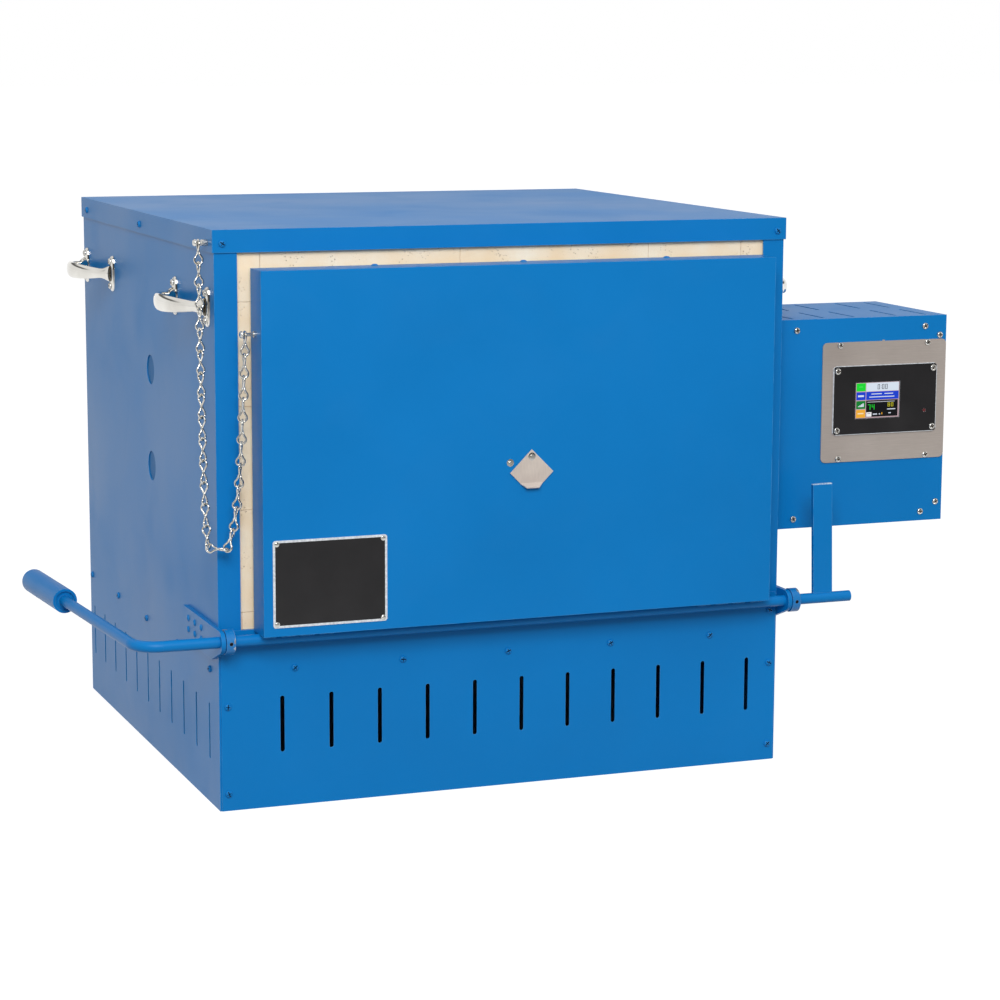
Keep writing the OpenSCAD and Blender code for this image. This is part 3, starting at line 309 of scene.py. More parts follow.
def dust_group():
    """Soft smudges and dust."""
    tree, given, out = new_group(
        "Dust",
        {
            "Vector": ("NodeSocketVector", None),
            "Scale": ("NodeSocketFloat", 9.0),
            "Cover": ("NodeSocketFloat", 0.5),
        },
        {"Mask": "NodeSocketFloat"},
    )
    broad = add_node(
        tree,
        "ShaderNodeTexNoise",
        {"Vector": given["Vector"], "Scale": given["Scale"], "Detail": 6.0, "Distortion": 0.6},
    )
    fine = add_node(tree, "ShaderNodeTexNoise", {"Vector": given["Vector"], "Scale": 900.0, "Detail": 2.0})
    low = maths(tree, "SUBTRACT", 1.0, given["Cover"])
    cloud = map_range(tree, broad.outputs[0], low, 1.0)
    specks = map_range(tree, fine.outputs[0], 0.4, 0.8, 0.35, 1.0)
    tree.links.new(maths(tree, "MULTIPLY", cloud, specks), out["Mask"])
    return tree


GROUPS = {}


def shared(name):
    if name not in GROUPS:
        GROUPS[name] = {"Edge rub and highlight": edge_rub_and_highlight_group, "Grain": grain_group, "Dust": dust_group}[name]()
    return GROUPS[name]


class Finish:
    """One material: the Principled shader with its constants, and helpers for what varies."""

    def __init__(self, name, **constants):
        self.material = bpy.data.materials.new(name)
        self.material.use_nodes = True
        self.tree = self.material.node_tree
        self.tree.nodes.clear()
        self.shader = self.node("ShaderNodeBsdfPrincipled")
        out = self.node("ShaderNodeOutputMaterial")
        self.tree.links.new(self.shader.outputs[0], out.inputs["Surface"])
        self.place = self.node("ShaderNodeTexCoord").outputs["Object"]
        for socket, value in constants.items():
            self.shader.inputs[socket.replace("_", " ")].default_value = value

    def node(self, kind, inputs=None, **attributes):
        return add_node(self.tree, kind, inputs, **attributes)

    def effect(self, name, **inputs):
        group = self.node("ShaderNodeGroup", node_tree=shared(name))
        self.tree.links.new(self.place, group.inputs["Vector"])
        for socket, value in inputs.items():
            group.inputs[socket].default_value = value
        return group.outputs

    def mix(self, a, b, share):
        node = self.node("ShaderNodeMix", data_type="RGBA")
        for socket, value in ((0, share), (6, a), (7, b)):
            if isinstance(value, bpy.types.NodeSocket):
                self.tree.links.new(value, node.inputs[socket])
            else:
                node.inputs[socket].default_value = value if socket == 0 else (*value, 1.0)
        return node.outputs[2]

    def range(self, value, low, high, to_low=0.0, to_high=1.0):
        return map_range(self.tree, value, low, high, to_low, to_high)

    def maths(self, operation, a, b=0.0):
        return maths(self.tree, operation, a, b)

    def times(self, a, b):
        return self.maths("MULTIPLY", a, b)

    def over(self, colour, other, mask, share):
        """The colour with another laid over it where the mask is up, thinned by a share."""
        return self.mix(colour, other, self.times(mask, share))

    def tone(self, scale, detail):
        return self.effect("Grain", Scale=scale, Detail=detail)["Tone"]

    def dust(self, scale, cover):
        return self.effect("Dust", Scale=scale, Cover=cover)["Mask"]

    def rub(self, radius, reach, **inputs):
        return self.effect("Edge rub and highlight", Radius=radius, Reach=reach, **inputs)["Mask"]

    def attribute(self, name):
        return self.node("ShaderNodeAttribute", attribute_name=name)

    def bump(self, height, depth, strength=1.0):
        node = self.node("ShaderNodeBump", {"Height": height, "Distance": depth, "Strength": strength})
        self.tree.links.new(node.outputs[0], self.shader.inputs["Normal"])

    def feed(self, **sockets):
        for socket, value in sockets.items():
            self.tree.links.new(value, self.shader.inputs[socket.replace("_", " ")])


def around(count, whole=2 * math.pi):
    """Angles spread evenly round a circle."""
    return [whole * i / count for i in range(count)]


def extent(points):
    """Lowest and highest corner of a set of points."""
    return tuple([pick(p[i] for p in points) for i in range(3)] for pick in (min, max))


def toned(colour, factor):
    return tuple(min(1.0, v * factor) for v in colour)


# Finishes


TIP_BARE = (0.0016, 0.0006)


def powder_coat(name="blue_powder_coat", painted_shade=1.0, highlight_and_rub_share=None, tip=None, sheen=0.2):
    """Blue paint with pale blue along edges and folds, a painted highlight with some edge rub; a piece with a
    tip has bare steel along that height.
    """
    paint = settings("paint")
    blue = toned(paint.blue, painted_shade)
    # A painted shade below 1 darkens the blue, as painted shade for recessed parts.
    f = Finish(name, Specular_IOR_Level=sheen)
    broad = f.tone(5.0, 4.0)
    peel = f.effect("Grain", Scale=700.0, Detail=2.0)
    dust = f.dust(11.0, 0.52)
    rub = f.rub(0.0011, 0.1)
    colour = f.mix(toned(blue, 0.94), toned(blue, 1.03), broad)
    colour = f.over(colour, srgb(120, 150, 175), dust, 0.03)
    share = f.times(rub, paint.highlight_and_rub_share if highlight_and_rub_share is None else highlight_and_rub_share)
    # Pale blue along edges and folds: painted highlight where folds catch light, with some edge rub.
    colour = f.mix(colour, tuple(paint.rubbed), share)
    # Dark blue in the screws' cross recesses: painted shade.
    colour = f.mix(colour, srgb(2, 40, 78), f.attribute("recess").outputs["Fac"])
    if tip:
        height = f.node("ShaderNodeSeparateXYZ", {0: f.place}).outputs["Z"]
        low, high = (tip - drop for drop in TIP_BARE)
        bare = f.times(f.range(height, low, high), f.range(peel["Tone"], 0.1, 0.5))
        colour = f.mix(colour, srgb(205, 222, 236), bare)
    rough = f.range(broad, 0, 1, 0.34, 0.42)
    rough = f.maths("ADD", rough, f.times(dust, 0.14))
    f.feed(Base_Color=colour, Roughness=rough)
    f.bump(peel["Height"], paint.peel)
    return f.material


def fire_brick():
    brick = settings("brick")
    f = Finish("fire_brick", Specular_IOR_Level=0.12)
    broad = f.tone(13.0, 5.0)
    fine = f.effect("Grain", Scale=900.0, Detail=3.0)
    rub = f.rub(0.002, 0.25, Breakup=220.0)
    cells = f.node("ShaderNodeTexVoronoi", {"Vector": f.place, "Scale": 300.0, "Randomness": 1.0})
    holes = f.node("ShaderNodeTexVoronoi", {"Vector": f.place, "Scale": 95.0, "Randomness": 1.0})
    rare = f.node("ShaderNodeTexNoise", {"Vector": f.place, "Scale": 46.0, "Detail": 2.0})
    small = f.range(cells.outputs["Distance"], 0.12, 0.3, 1.0, 0.0)
    pores = f.times(small, f.range(rare.outputs[0], 0.5, 0.66))
    large = f.range(holes.outputs["Distance"], 0.05, 0.12, 1.0, 0.0)
    burst = f.times(large, f.range(rare.outputs[0], 0.57, 0.63))
    colour = f.mix(tuple(brick.cream), tuple(brick.tan), broad)
    colour = f.over(colour, toned(brick.tan, 0.86), fine["Tone"], 0.12)
    # Pores darkened: painted shade in the pits; the bump below is their real depth.
    colour = f.over(colour, toned(brick.tan, 0.45), pores, 0.4)
    colour = f.over(colour, tuple(brick.spot), burst, 0.85)
    colour = f.over(colour, srgb(255, 248, 236), rub, 0.35)
    height = f.maths("SUBTRACT", f.times(fine["Height"], 0.3), pores)
    height = f.maths("SUBTRACT", height, f.times(burst, 1.6))
    f.feed(Base_Color=colour, Roughness=f.range(fine["Tone"], 0, 1, 0.85, 1.0))
    f.bump(height, brick.pit)
    return f.material


def fibre_blanket():
    f = Finish("ceramic_fibre", Specular_IOR_Level=0.1)
    lay = f.effect("Grain", Scale=420.0, Detail=5.0, Stretch=(0.25, 1.0, 1.0))
    broad = f.tone(22.0, 3.0)
    colour = f.mix(srgb(246, 245, 240), srgb(222, 219, 209), broad)
    colour = f.over(colour, srgb(205, 198, 184), lay["Tone"], 0.3)
    f.feed(Base_Color=colour, Roughness=f.range(lay["Tone"], 0, 1, 0.9, 1.0))
    f.bump(lay["Height"], 0.0012)
    return f.material


def glazed_tube():
    f = Finish("dense_ceramic", Specular_IOR_Level=0.4)
    broad = f.tone(60.0, 4.0)
    specks = f.effect("Grain", Scale=1500.0, Detail=1.0)
    rub = f.rub(0.0008, 0.2)
    colour = f.mix(srgb(242, 234, 214), srgb(228, 214, 188), broad)
    colour = f.over(colour, srgb(150, 122, 92), f.range(specks["Tone"], 0.8, 1.0), 0.4)
    colour = f.over(colour, srgb(252, 248, 238), rub, 0.4)
    f.feed(Base_Color=colour, Roughness=f.range(broad, 0, 1, 0.3, 0.5))
    f.bump(specks["Height"], 0.00008)
    return f.material


def metal(
    name, light, dark, rough, lay=(1.0, 1.0, 1.0), scale=500.0, depth=0.00003, metallic=1.0, blotch=30.0,
    slot_colour=None, rub_share=0.3, bright=None,
):
    """A bare or plated metal with its lay, stains and rubbed edges."""
    f = Finish(name, Metallic=metallic)
    grain = f.effect("Grain", Scale=scale, Detail=4.0, Stretch=lay)
    broad = f.effect("Grain", Scale=blotch, Detail=4.0)["Tone"]
    dust = f.dust(25.0, 0.55)
    rub = f.rub(0.0006, 0.15, Breakup=150.0)
    colour = f.mix(light, dark, broad)
    colour = f.over(colour, toned(dark, 0.8), grain["Tone"], 0.35)
    colour = f.mix(colour, bright or toned(light, 1.25), f.times(rub, rub_share))
    if slot_colour:
        colour = f.mix(colour, slot_colour, f.attribute("recess").outputs["Fac"])
    roughness = f.range(grain["Tone"], 0, 1, rough[0], rough[1])
    roughness = f.maths("ADD", roughness, f.times(dust, 0.12))
    f.feed(Base_Color=colour, Roughness=roughness)
    f.bump(grain["Height"], depth)
    return f.material


def moulded(name, light, dark, rough, specular=0.4, depth=0.00006, scale=600.0):
    """A moulded or coated plain surface: fine texture, faint clouds, rubbed edges."""
    f = Finish(name, Specular_IOR_Level=specular)
    grain = f.effect("Grain", Scale=scale, Detail=3.0)
    broad = f.tone(18.0, 3.0)
    dust = f.dust(16.0, 0.5)
    rub = f.rub(0.0007, 0.15, Breakup=120.0)
    colour = f.mix(light, dark, broad)
    colour = f.over(colour, srgb(150, 146, 140), dust, 0.07)
    colour = f.over(colour, toned([v + 0.02 for v in light], 1.8), rub, 0.4)
    roughness = f.range(grain["Tone"], 0, 1, rough[0], rough[1])
    f.feed(Base_Color=colour, Roughness=f.maths("ADD", roughness, f.times(dust, 0.15)))
    f.bump(grain["Height"], depth)
    return f.material


PRINT_EDGE = 0.00012


def enamelled_plate(name, node, border):
    """Satin black print on a bright plate, which shows as a narrow border round it."""
    low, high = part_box(node)
    f = Finish(name, Specular_IOR_Level=0.45)
    axes = f.node("ShaderNodeSeparateXYZ", {0: f.place})
    inside = None
    for axis in ("X", "Z"):
        i = "XYZ".index(axis)
        middle, half = (low[i] + high[i]) / 2, (high[i] - low[i]) / 2 - border
        away = f.maths("ABSOLUTE", f.maths("SUBTRACT", axes.outputs[axis], middle))
        edge = f.range(away, half - PRINT_EDGE, half + PRINT_EDGE, 1.0, 0.0)
        inside = edge if inside is None else f.times(inside, edge)
    normal = f.node("ShaderNodeNewGeometry").outputs["Normal"]
    facing = f.node("ShaderNodeSeparateXYZ", {0: normal})
    front = f.range(facing.outputs["Y"], -0.99, -0.9, 1.0, 0.0)
    inside = f.times(inside, front)
    grain = f.effect("Grain", Scale=900.0, Detail=2.0)
    broad = f.tone(30.0, 4.0)
    dust = f.dust(20.0, 0.5)
    black = f.mix(srgb(26, 24, 26), srgb(17, 16, 18), broad)
    black = f.over(black, srgb(120, 118, 116), dust, 0.05)
    brushed = f.effect("Grain", Scale=300.0)["Tone"]
    bright = f.mix(srgb(236, 240, 244), srgb(196, 202, 208), brushed)
    f.feed(
        Base_Color=f.mix(bright, black, inside),
        Roughness=f.maths("ADD", f.range(grain["Tone"], 0, 1, 0.3, 0.38), f.times(dust, 0.12)),
        Metallic=f.range(inside, 0, 1, 0.15, 0.0),
    )
    f.bump(grain["Height"], 0.00002)
    return f.material


def screen_glass():
    f = Finish("screen_glass", Specular_IOR_Level=0.5, Coat_Weight=0.6, Coat_Roughness=0.05)
    broad = f.tone(40.0, 3.0)
    smear = f.dust(60.0, 0.6)
    f.feed(
        Base_Color=f.mix(srgb(20, 24, 34), srgb(10, 12, 20), broad),
        Roughness=f.maths("ADD", f.times(smear, 0.25), 0.08),
    )
    f.bump(smear, 0.000005)
    return f.material


def screen_picture():
    """Lit dots of the screen: each tile's colour comes from its own attribute."""
    glow = settings("controller").glow
    f = Finish("screen_picture", Specular_IOR_Level=0.3, Emission_Strength=glow)
    colour = f.attribute("tile").outputs["Color"]
    cells = f.node("ShaderNodeTexVoronoi", {"Vector": f.place, "Scale": 2400.0, "Randomness": 0.0})
    lit = f.range(cells.outputs["Distance"], 0.2, 0.75, 1.0, 0.86)
    lit = f.node("ShaderNodeCombineColor", {0: lit, 1: lit, 2: lit}).outputs[0]
    shown = f.node(
        "ShaderNodeMix", {0: 1.0, 6: colour, 7: lit}, data_type="RGBA", blend_type="MULTIPLY"
    ).outputs[2]
    smear = f.dust(60.0, 0.6)
    f.feed(
        Base_Color=f.mix(shown, (0, 0, 0), 0.9),
        Emission_Color=shown,
        Roughness=f.maths("ADD", f.times(smear, 0.25), 0.1),
    )
    f.bump(cells.outputs["Distance"], 0.00001)
    return f.material


def red_lens():
    f = Finish("red_lens", Specular_IOR_Level=0.6, Coat_Weight=0.5)
    broad = f.effect("Grain", Scale=900.0, Detail=2.0)
    rub = f.rub(0.0004, 0.2)
    colour = f.mix(srgb(110, 26, 30), srgb(70, 12, 16), broad["Tone"])
    f.feed(
        Base_Color=f.over(colour, srgb(190, 110, 110), rub, 0.4),
        Roughness=f.range(broad["Tone"], 0, 1, 0.12, 0.25),
    )
    f.bump(broad["Height"], 0.00002)
    return f.material


def circuit_board():
    f = Finish("circuit_board", Specular_IOR_Level=0.5)
    axes = f.node("ShaderNodeSeparateXYZ", {0: f.place})
    flat = f.node("ShaderNodeCombineXYZ", {0: axes.outputs["X"], 1: axes.outputs["Z"]}).outputs[0]
    black, white = (0, 0, 0, 1), (1, 1, 1, 1)
    tracks = f.node("ShaderNodeTexBrick", {
        "Vector": flat, "Scale": 160.0, "Mortar Size": 0.06,
        "Color1": black, "Color2": black, "Mortar": white,
    })
    line = f.range(tracks.outputs["Fac"], 0.0, 1.0)
    broad = f.tone(80.0, 3.0)
    colour = f.mix(srgb(24, 104, 58), srgb(16, 78, 46), broad)
    f.feed(
        Base_Color=f.over(colour, srgb(70, 150, 96), line, 0.6),
        Roughness=f.range(broad, 0, 1, 0.3, 0.45),
    )
    f.bump(line, 0.00004)
    return f.material


def collar_steel():
    """Turned steel, with blue paint over part of it."""
    paint = settings("paint")
    f = Finish("painted_collar", Specular_IOR_Level=0.5)
    turned = f.effect("Grain", Scale=1500.0, Detail=3.0, Stretch=(1.0, 0.06, 0.06))
    cover = f.tone(90.0, 5.0)
    rub = f.rub(0.0009, 0.2, Breakup=200.0)
    bare = f.maths("MAXIMUM", f.range(cover, 0.72, 0.84), f.times(rub, 0.7))
    steel = f.mix(srgb(206, 210, 214), srgb(132, 136, 142), turned["Tone"])
    f.feed(
        Base_Color=f.mix(toned(paint.blue, 0.95), steel, bare),
        Metallic=f.times(bare, 0.85),
        Roughness=f.range(turned["Tone"], 0, 1, 0.28, 0.45),
    )
    f.bump(turned["Height"], 0.00004)
    return f.material


def chrome():
    f = Finish("polished_chrome", Metallic=1.0)
    broad = f.tone(25.0, 3.0)
    wave = f.effect("Grain", Scale=120.0, Detail=2.0)
    dust = f.dust(40.0, 0.55)
    rub = f.rub(0.0008, 0.2)
    colour = f.mix(srgb(228, 226, 220), srgb(206, 203, 196), broad)
    colour = f.over(colour, srgb(250, 250, 250), rub, 0.5)
    f.feed(Base_Color=colour, Roughness=f.maths("ADD", f.times(dust, 0.12), 0.05))
    f.bump(wave["Height"], 0.00006)
    return f.material


METALS = {
    "element_wire": dict(
        light=srgb(118, 108, 100), dark=srgb(74, 66, 60), rough=(0.5, 0.7), scale=1500.0, blotch=120.0),
    "brushed_steel": dict(
        light=srgb(192, 182, 174), dark=srgb(175, 164, 156), rough=(0.38, 0.5), lay=(0.03, 1.0, 1.0),
        scale=1800.0, depth=0.00002, metallic=0.4, blotch=14.0, bright=srgb(235, 230, 224)),
    "pale_steel": dict(
        light=srgb(220, 208, 197), dark=srgb(202, 189, 180), rough=(0.34, 0.46), lay=(1.0, 1.0, 0.05),
        scale=1500.0, depth=0.00002, metallic=0.25, blotch=40.0, rub_share=0.9, bright=srgb(252, 252, 252)),
    "zinc_plate": dict(
        light=srgb(224, 224, 220), dark=srgb(190, 188, 182), rough=(0.18, 0.32), scale=900.0, blotch=220.0,
        slot_colour=srgb(104, 84, 70), rub_share=0.6),
    "chain_zinc": dict(
        light=srgb(232, 231, 226), dark=srgb(186, 182, 172), rough=(0.12, 0.26), scale=700.0, blotch=160.0,
        rub_share=0.5),
    "blackened_steel": dict(light=srgb(60, 60, 62), dark=srgb(36, 36, 38), rough=(0.3, 0.45), blotch=90.0),
}
MOULDED = {
    "black_plastic": dict(light=srgb(38, 38, 40), dark=srgb(26, 26, 28), rough=(0.45, 0.6)),
    "brown_bakelite": dict(light=srgb(112, 70, 42), dark=srgb(84, 50, 30), rough=(0.35, 0.5)),
}
MAKERS = {
    "blue_powder_coat": powder_coat,
    # Port plugs: the blue darkened to 0.8 is painted shade for their recess; their specular is low.
    "port_shaded_blue": lambda: powder_coat("port_shaded_blue", 0.8, 0.2, sheen=0.03),
    "lever_blue": lambda: powder_coat("lever_blue", 1.0, 0.7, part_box("lever_bar")[1][2]),
    "fire_brick": fire_brick,
    "ceramic_fibre": fibre_blanket,
    "dense_ceramic": glazed_tube,
    "polished_chrome": chrome,
    "screen_glass": screen_glass,
    "screen_picture": screen_picture,
    "red_lens": red_lens,
    "circuit_board": circuit_board,
    "painted_collar": collar_steel,
    "info_print": lambda: enamelled_plate("info_print", "info_plate", 0.0026),
    "face_print": lambda: enamelled_plate("face_print", "controller_faceplate", 0.0007),
}
MADE = {}


def finish(name):
    if name not in MADE:
        if name in METALS:
            MADE[name] = metal(name, **METALS[name])
        elif name in MOULDED:
            MADE[name] = moulded(name, **MOULDED[name])
        else:
            MADE[name] = MAKERS[name]()
    return MADE[name]


# Mesh helpers


def new_object(name, mesh):
    obj = bpy.data.objects.new(name, mesh)
    bpy.context.scene.collection.objects.link(obj)
    return obj


def from_bmesh(name, bm, smooth_angle=35):
    mesh = bpy.data.meshes.new(name)
    bm.to_mesh(mesh)
    bm.free()
    mesh.shade_smooth()
    mesh.set_sharp_from_angle(angle=math.radians(smooth_angle))
    return new_object(name, mesh)


MERGE, SLIVER = 0.000008, 0.000004
ROUNDED_FROM, SHARP_FROM = math.radians(32), math.radians(52)


def plain_mesh(obj):
    """The object with its modifiers turned into mesh, at the origin."""
    bpy.context.view_layer.update()
    graph = bpy.context.evaluated_depsgraph_get()
    mesh = bpy.data.meshes.new_from_object(
        obj.evaluated_get(graph), preserve_all_data_layers=True, depsgraph=graph
    )
    old = obj.data
    obj.modifiers.clear()
    obj.data = mesh
    bpy.data.meshes.remove(old)
    return obj


def hand_over(obj, body, slot, finish_name, *nodes):
    """Gives a finished piece its finish and body, and lets it stand for CAD nodes. The slot is not used."""
    obj.data.materials.clear()
    obj.data.materials.append(finish(finish_name))
    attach(obj, body)
    if nodes:
        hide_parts(*nodes)


def merged_copy(node, angle=1.0):
    """The node's triangles merged, with flat faces made whole again."""
    bm = bmesh.new()
    bm.from_mesh(NODES[node].data)
    bmesh.ops.remove_doubles(bm, verts=bm.verts, dist=MERGE)
    bmesh.ops.dissolve_degenerate(bm, edges=bm.edges, dist=SLIVER)
    bmesh.ops.dissolve_limit(bm, angle_limit=math.radians(angle), verts=bm.verts, edges=bm.edges)
    return bm


def folded_copy(node, name, slot, finish_name, radius, segments=2):
    """A copy of a sheet, plate or brick node with rounded edges."""
    obj = from_bmesh(name, merged_copy(node))
    bevel = obj.modifiers.new("Edges", "BEVEL")
    bevel.width = radius
    bevel.segments = segments
    bevel.limit_method = "ANGLE"
    bevel.angle_limit = ROUNDED_FROM
    bevel.use_clamp_overlap = True
    bevel.harden_normals = False
    plain_mesh(obj)
    obj.data.shade_smooth()
    obj.data.set_sharp_from_angle(angle=SHARP_FROM)
    weighted = obj.modifiers.new("Normals", "WEIGHTED_NORMAL")
    weighted.keep_sharp = True
    weighted.weight = 90
    plain_mesh(obj)
    hand_over(obj, BODY_OF[node], slot, finish_name, node)
    return obj


def loft(bm, rings, caps=True):
    """Skin over closed rings of equal count, with a pole at each end."""
    rows = [[bm.verts.new(p) for p in ring] for ring in rings]
    count = len(rows[0])
    for a, b in zip(rows, rows[1:]):
        for i in range(count):
            j = (i + 1) % count
            bm.faces.new((a[i], a[j], b[j], b[i]))
    if caps:
        for row, turn in ((rows[0], True), (rows[-1], False)):
            pole = bm.verts.new(sum((v.co for v in row), Vector()) / count)
            for i in range(count):
                j = (i + 1) % count
                bm.faces.new((row[j], row[i], pole) if turn else (row[i], row[j], pole))


def sweep(bm, points, radius, sides):
    """Round tube along a closed loop of points."""
    count = len(points)
    tangents = [(points[(i + 1) % count] - points[i - 1]).normalized() for i in range(count)]
    normal = tangents[0].orthogonal().normalized()
    normals = [normal]
    for i in range(1, count + 1):
        turn = tangents[i - 1].rotation_difference(tangents[i % count])
        normal = (turn @ normal).normalized()
        normals.append(normal)
    slip = math.atan2(tangents[0].dot(normals[0].cross(normals[-1])), normals[0].dot(normals[-1]))
    rows = []
    for i in range(count):
        n = Matrix.Rotation(-slip * i / count, 3, tangents[i]) @ normals[i]
        b = tangents[i].cross(n)
        rows.append([
            bm.verts.new(points[i] + radius * (math.cos(a) * n + math.sin(a) * b))
            for a in around(sides)
        ])
    for i in range(count):
        a, b = rows[i], rows[(i + 1) % count]
        for k in range(sides):
            m = (k + 1) % sides
            bm.faces.new((a[k], a[m], b[m], b[k]))


def islands(node):
    """Vertex positions of each separate solid of a node."""
    bm = bmesh.new()
    bm.from_mesh(NODES[node].data)
    bmesh.ops.remove_doubles(bm, verts=bm.verts, dist=0.00001)
    left, found = set(bm.verts), []
    while left:
        stack, part = [left.pop()], []
        while stack:
            v = stack.pop()
            part.append(v.co.copy())
            for e in v.link_edges:
                w = e.other_vert(v)
                if w in left:
                    left.remove(w)
                    stack.append(w)
        found.append(part)
    bm.free()
    return sorted(found, key=lambda part: tuple(round(c, 5) for c in min(part, key=lambda p: tuple(p))))


def middle_of(points):
    return sum(points, Vector()) / len(points)


# Geometry Nodes


class Tree:
    """A Geometry Nodes tree with named inputs, and the modifier that runs it."""

    def __init__(self, name, inputs):
        self.tree = bpy.data.node_groups.new(name, "GeometryNodeTree")
        self.tree.is_modifier = True
        face = self.tree.interface
        face.new_socket("Geometry", in_out="INPUT", socket_type="NodeSocketGeometry")
        self.ids = {
            label: face.new_socket(label, in_out="INPUT", socket_type=kind).identifier
            for label, kind in inputs.items()
        }
        face.new_socket("Geometry", in_out="OUTPUT", socket_type="NodeSocketGeometry")
        self.given = self.node("NodeGroupInput").outputs

    def node(self, kind, inputs=None, **attributes):
        return add_node(self.tree, kind, inputs, **attributes)

    def named(self, name):
        kind = "GeometryNodeInputNamedAttribute"
        return self.node(kind, {"Name": name}, data_type="FLOAT_VECTOR").outputs[0]

    def close(self, geometry, smooth=True):
        real = self.node("GeometryNodeRealizeInstances", {0: geometry}).outputs[0]
        if smooth:
            real = self.node("GeometryNodeSetShadeSmooth", {0: real}).outputs[0]
        coated = self.node("GeometryNodeSetMaterial", {"Geometry": real, "Material": self.given["Finish"]})
        out = self.node("NodeGroupOutput")
        self.tree.links.new(coated.outputs[0], out.inputs[0])
        return self

    def run(self, obj, **values):
        mod = obj.modifiers.new(self.tree.name, "NODES")
        mod.node_group = self.tree
        for label, value in values.items():
            mod[self.ids[label.replace("_", " ")]] = value
        return plain_mesh(obj)


def screws_tree():
    """Heads and shanks on points: each points along its aim, turned at random."""
    t = Tree("Seated screws", {
        "Head": "NodeSocketObject", "Shank sides": "NodeSocketInt", "Seed": "NodeSocketInt",
        "Finish": "NodeSocketMaterial",
    })
    aim = t.named("aim")
    head = t.named("head")
    shank = t.named("shank")
    upright = t.node("FunctionNodeAlignRotationToVector", {"Vector": aim}, axis="Z").outputs[0]
    spin = t.node(
        "FunctionNodeRandomValue", {2: 0.0, 3: 2 * math.pi, "Seed": t.given["Seed"]}, data_type="FLOAT"
    )
    turn = t.node("ShaderNodeCombineXYZ", {2: spin.outputs[1]})
    turned = t.node("FunctionNodeRotateRotation", {
        0: upright, 1: t.node("FunctionNodeEulerToRotation", {0: turn.outputs[0]}).outputs[0]},
        rotation_space="LOCAL").outputs[0]
    cap = t.node("GeometryNodeObjectInfo", {"Object": t.given["Head"], "As Instance": False})
    heads = t.node("GeometryNodeInstanceOnPoints", {
        "Points": t.given["Geometry"], "Instance": cap.outputs["Geometry"],
        "Rotation": turned, "Scale": head})
    rod = t.node("GeometryNodeMeshCylinder", {
        "Vertices": t.given["Shank sides"], "Radius": 1.0, "Depth": 1.0})
    sunk = t.node("GeometryNodeTransform", {"Geometry": rod.outputs[0], "Translation": (0, 0, -0.5)})
    shanks = t.node("GeometryNodeInstanceOnPoints", {
        "Points": t.given["Geometry"], "Instance": sunk.outputs[0], "Rotation": upright, "Scale": shank})
    joined = t.node("GeometryNodeJoinGeometry")
    t.tree.links.new(shanks.outputs[0], joined.inputs[0])
    t.tree.links.new(heads.outputs[0], joined.inputs[0])
    return t.close(joined.outputs[0], smooth=False)


def coil_tree():
    """A wire wound round the path."""
    t = Tree("Wound coil", {
        "Coil radius": "NodeSocketFloat", "Wire radius": "NodeSocketFloat", "Pitch": "NodeSocketFloat",
        "Steps": "NodeSocketInt", "Sides": "NodeSocketInt", "Finish": "NodeSocketMaterial",
    })
    path = t.node("GeometryNodeMeshToCurve", {0: t.given["Geometry"]}).outputs[0]
    length = t.node("GeometryNodeCurveLength", {0: path}).outputs[0]
    turns = maths(t.tree, "DIVIDE", length, t.given["Pitch"])
    count = maths(t.tree, "MULTIPLY", turns, t.given["Steps"])
    fine = t.node("GeometryNodeResampleCurve", {"Curve": path, "Count": count}).outputs[0]
    along = t.node("GeometryNodeSplineParameter").outputs["Length"]
    angle = maths(t.tree, "MULTIPLY", maths(t.tree, "DIVIDE", along, t.given["Pitch"]), 2 * math.pi)
    normal = t.node("GeometryNodeInputNormal").outputs[0]
    across = t.node("ShaderNodeVectorMath", {
        0: t.node("GeometryNodeInputTangent").outputs[0], 1: normal}, operation="CROSS_PRODUCT").outputs[0]

    def arm(direction, function):
        long = maths(t.tree, "MULTIPLY", maths(t.tree, function, angle), t.given["Coil radius"])
        return t.node("ShaderNodeVectorMath", {0: direction, "Scale": long}, operation="SCALE").outputs[0]

    out = t.node(
        "ShaderNodeVectorMath", {0: arm(normal, "COSINE"), 1: arm(across, "SINE")}, operation="ADD"
    )
    wound = t.node("GeometryNodeSetPosition", {"Geometry": fine, "Offset": out.outputs[0]}).outputs[0]
    ring = t.node("GeometryNodeCurvePrimitiveCircle", {
        "Resolution": t.given["Sides"], "Radius": t.given["Wire radius"]}).outputs[0]
    wire = t.node("GeometryNodeCurveToMesh", {"Curve": wound, "Profile Curve": ring, "Fill Caps": True})
    return t.close(wire.outputs[0])


def weld_tree():
    """Overlapping drops along the path, like a stitched weld."""
    t = Tree("Weld stitches", {
        "Step": "NodeSocketFloat", "Drop": "NodeSocketVector", "Seed": "NodeSocketInt",
        "Finish": "NodeSocketMaterial",
    })
    path = t.node("GeometryNodeMeshToCurve", {0: t.given["Geometry"]}).outputs[0]
    points = t.node("GeometryNodeCurveToPoints", {"Curve": path, "Length": t.given["Step"]}, mode="LENGTH")
    drop = t.node("GeometryNodeMeshUVSphere", {"Segments": 12, "Rings": 8, "Radius": 1.0}).outputs[0]
    size = t.node("FunctionNodeRandomValue", {2: 0.86, 3: 1.1, "Seed": t.given["Seed"]}, data_type="FLOAT")
    scaled = t.node("ShaderNodeVectorMath", {0: t.given["Drop"], "Scale": size.outputs[1]}, operation="SCALE")
    tilt = t.node("FunctionNodeEulerToRotation", {0: (0.0, math.radians(24), 0.0)}).outputs[0]
    drops = t.node("GeometryNodeInstanceOnPoints", {
        "Points": points.outputs[0], "Instance": drop, "Rotation": tilt, "Scale": scaled.outputs[0]})
    return t.close(drops.outputs[0])


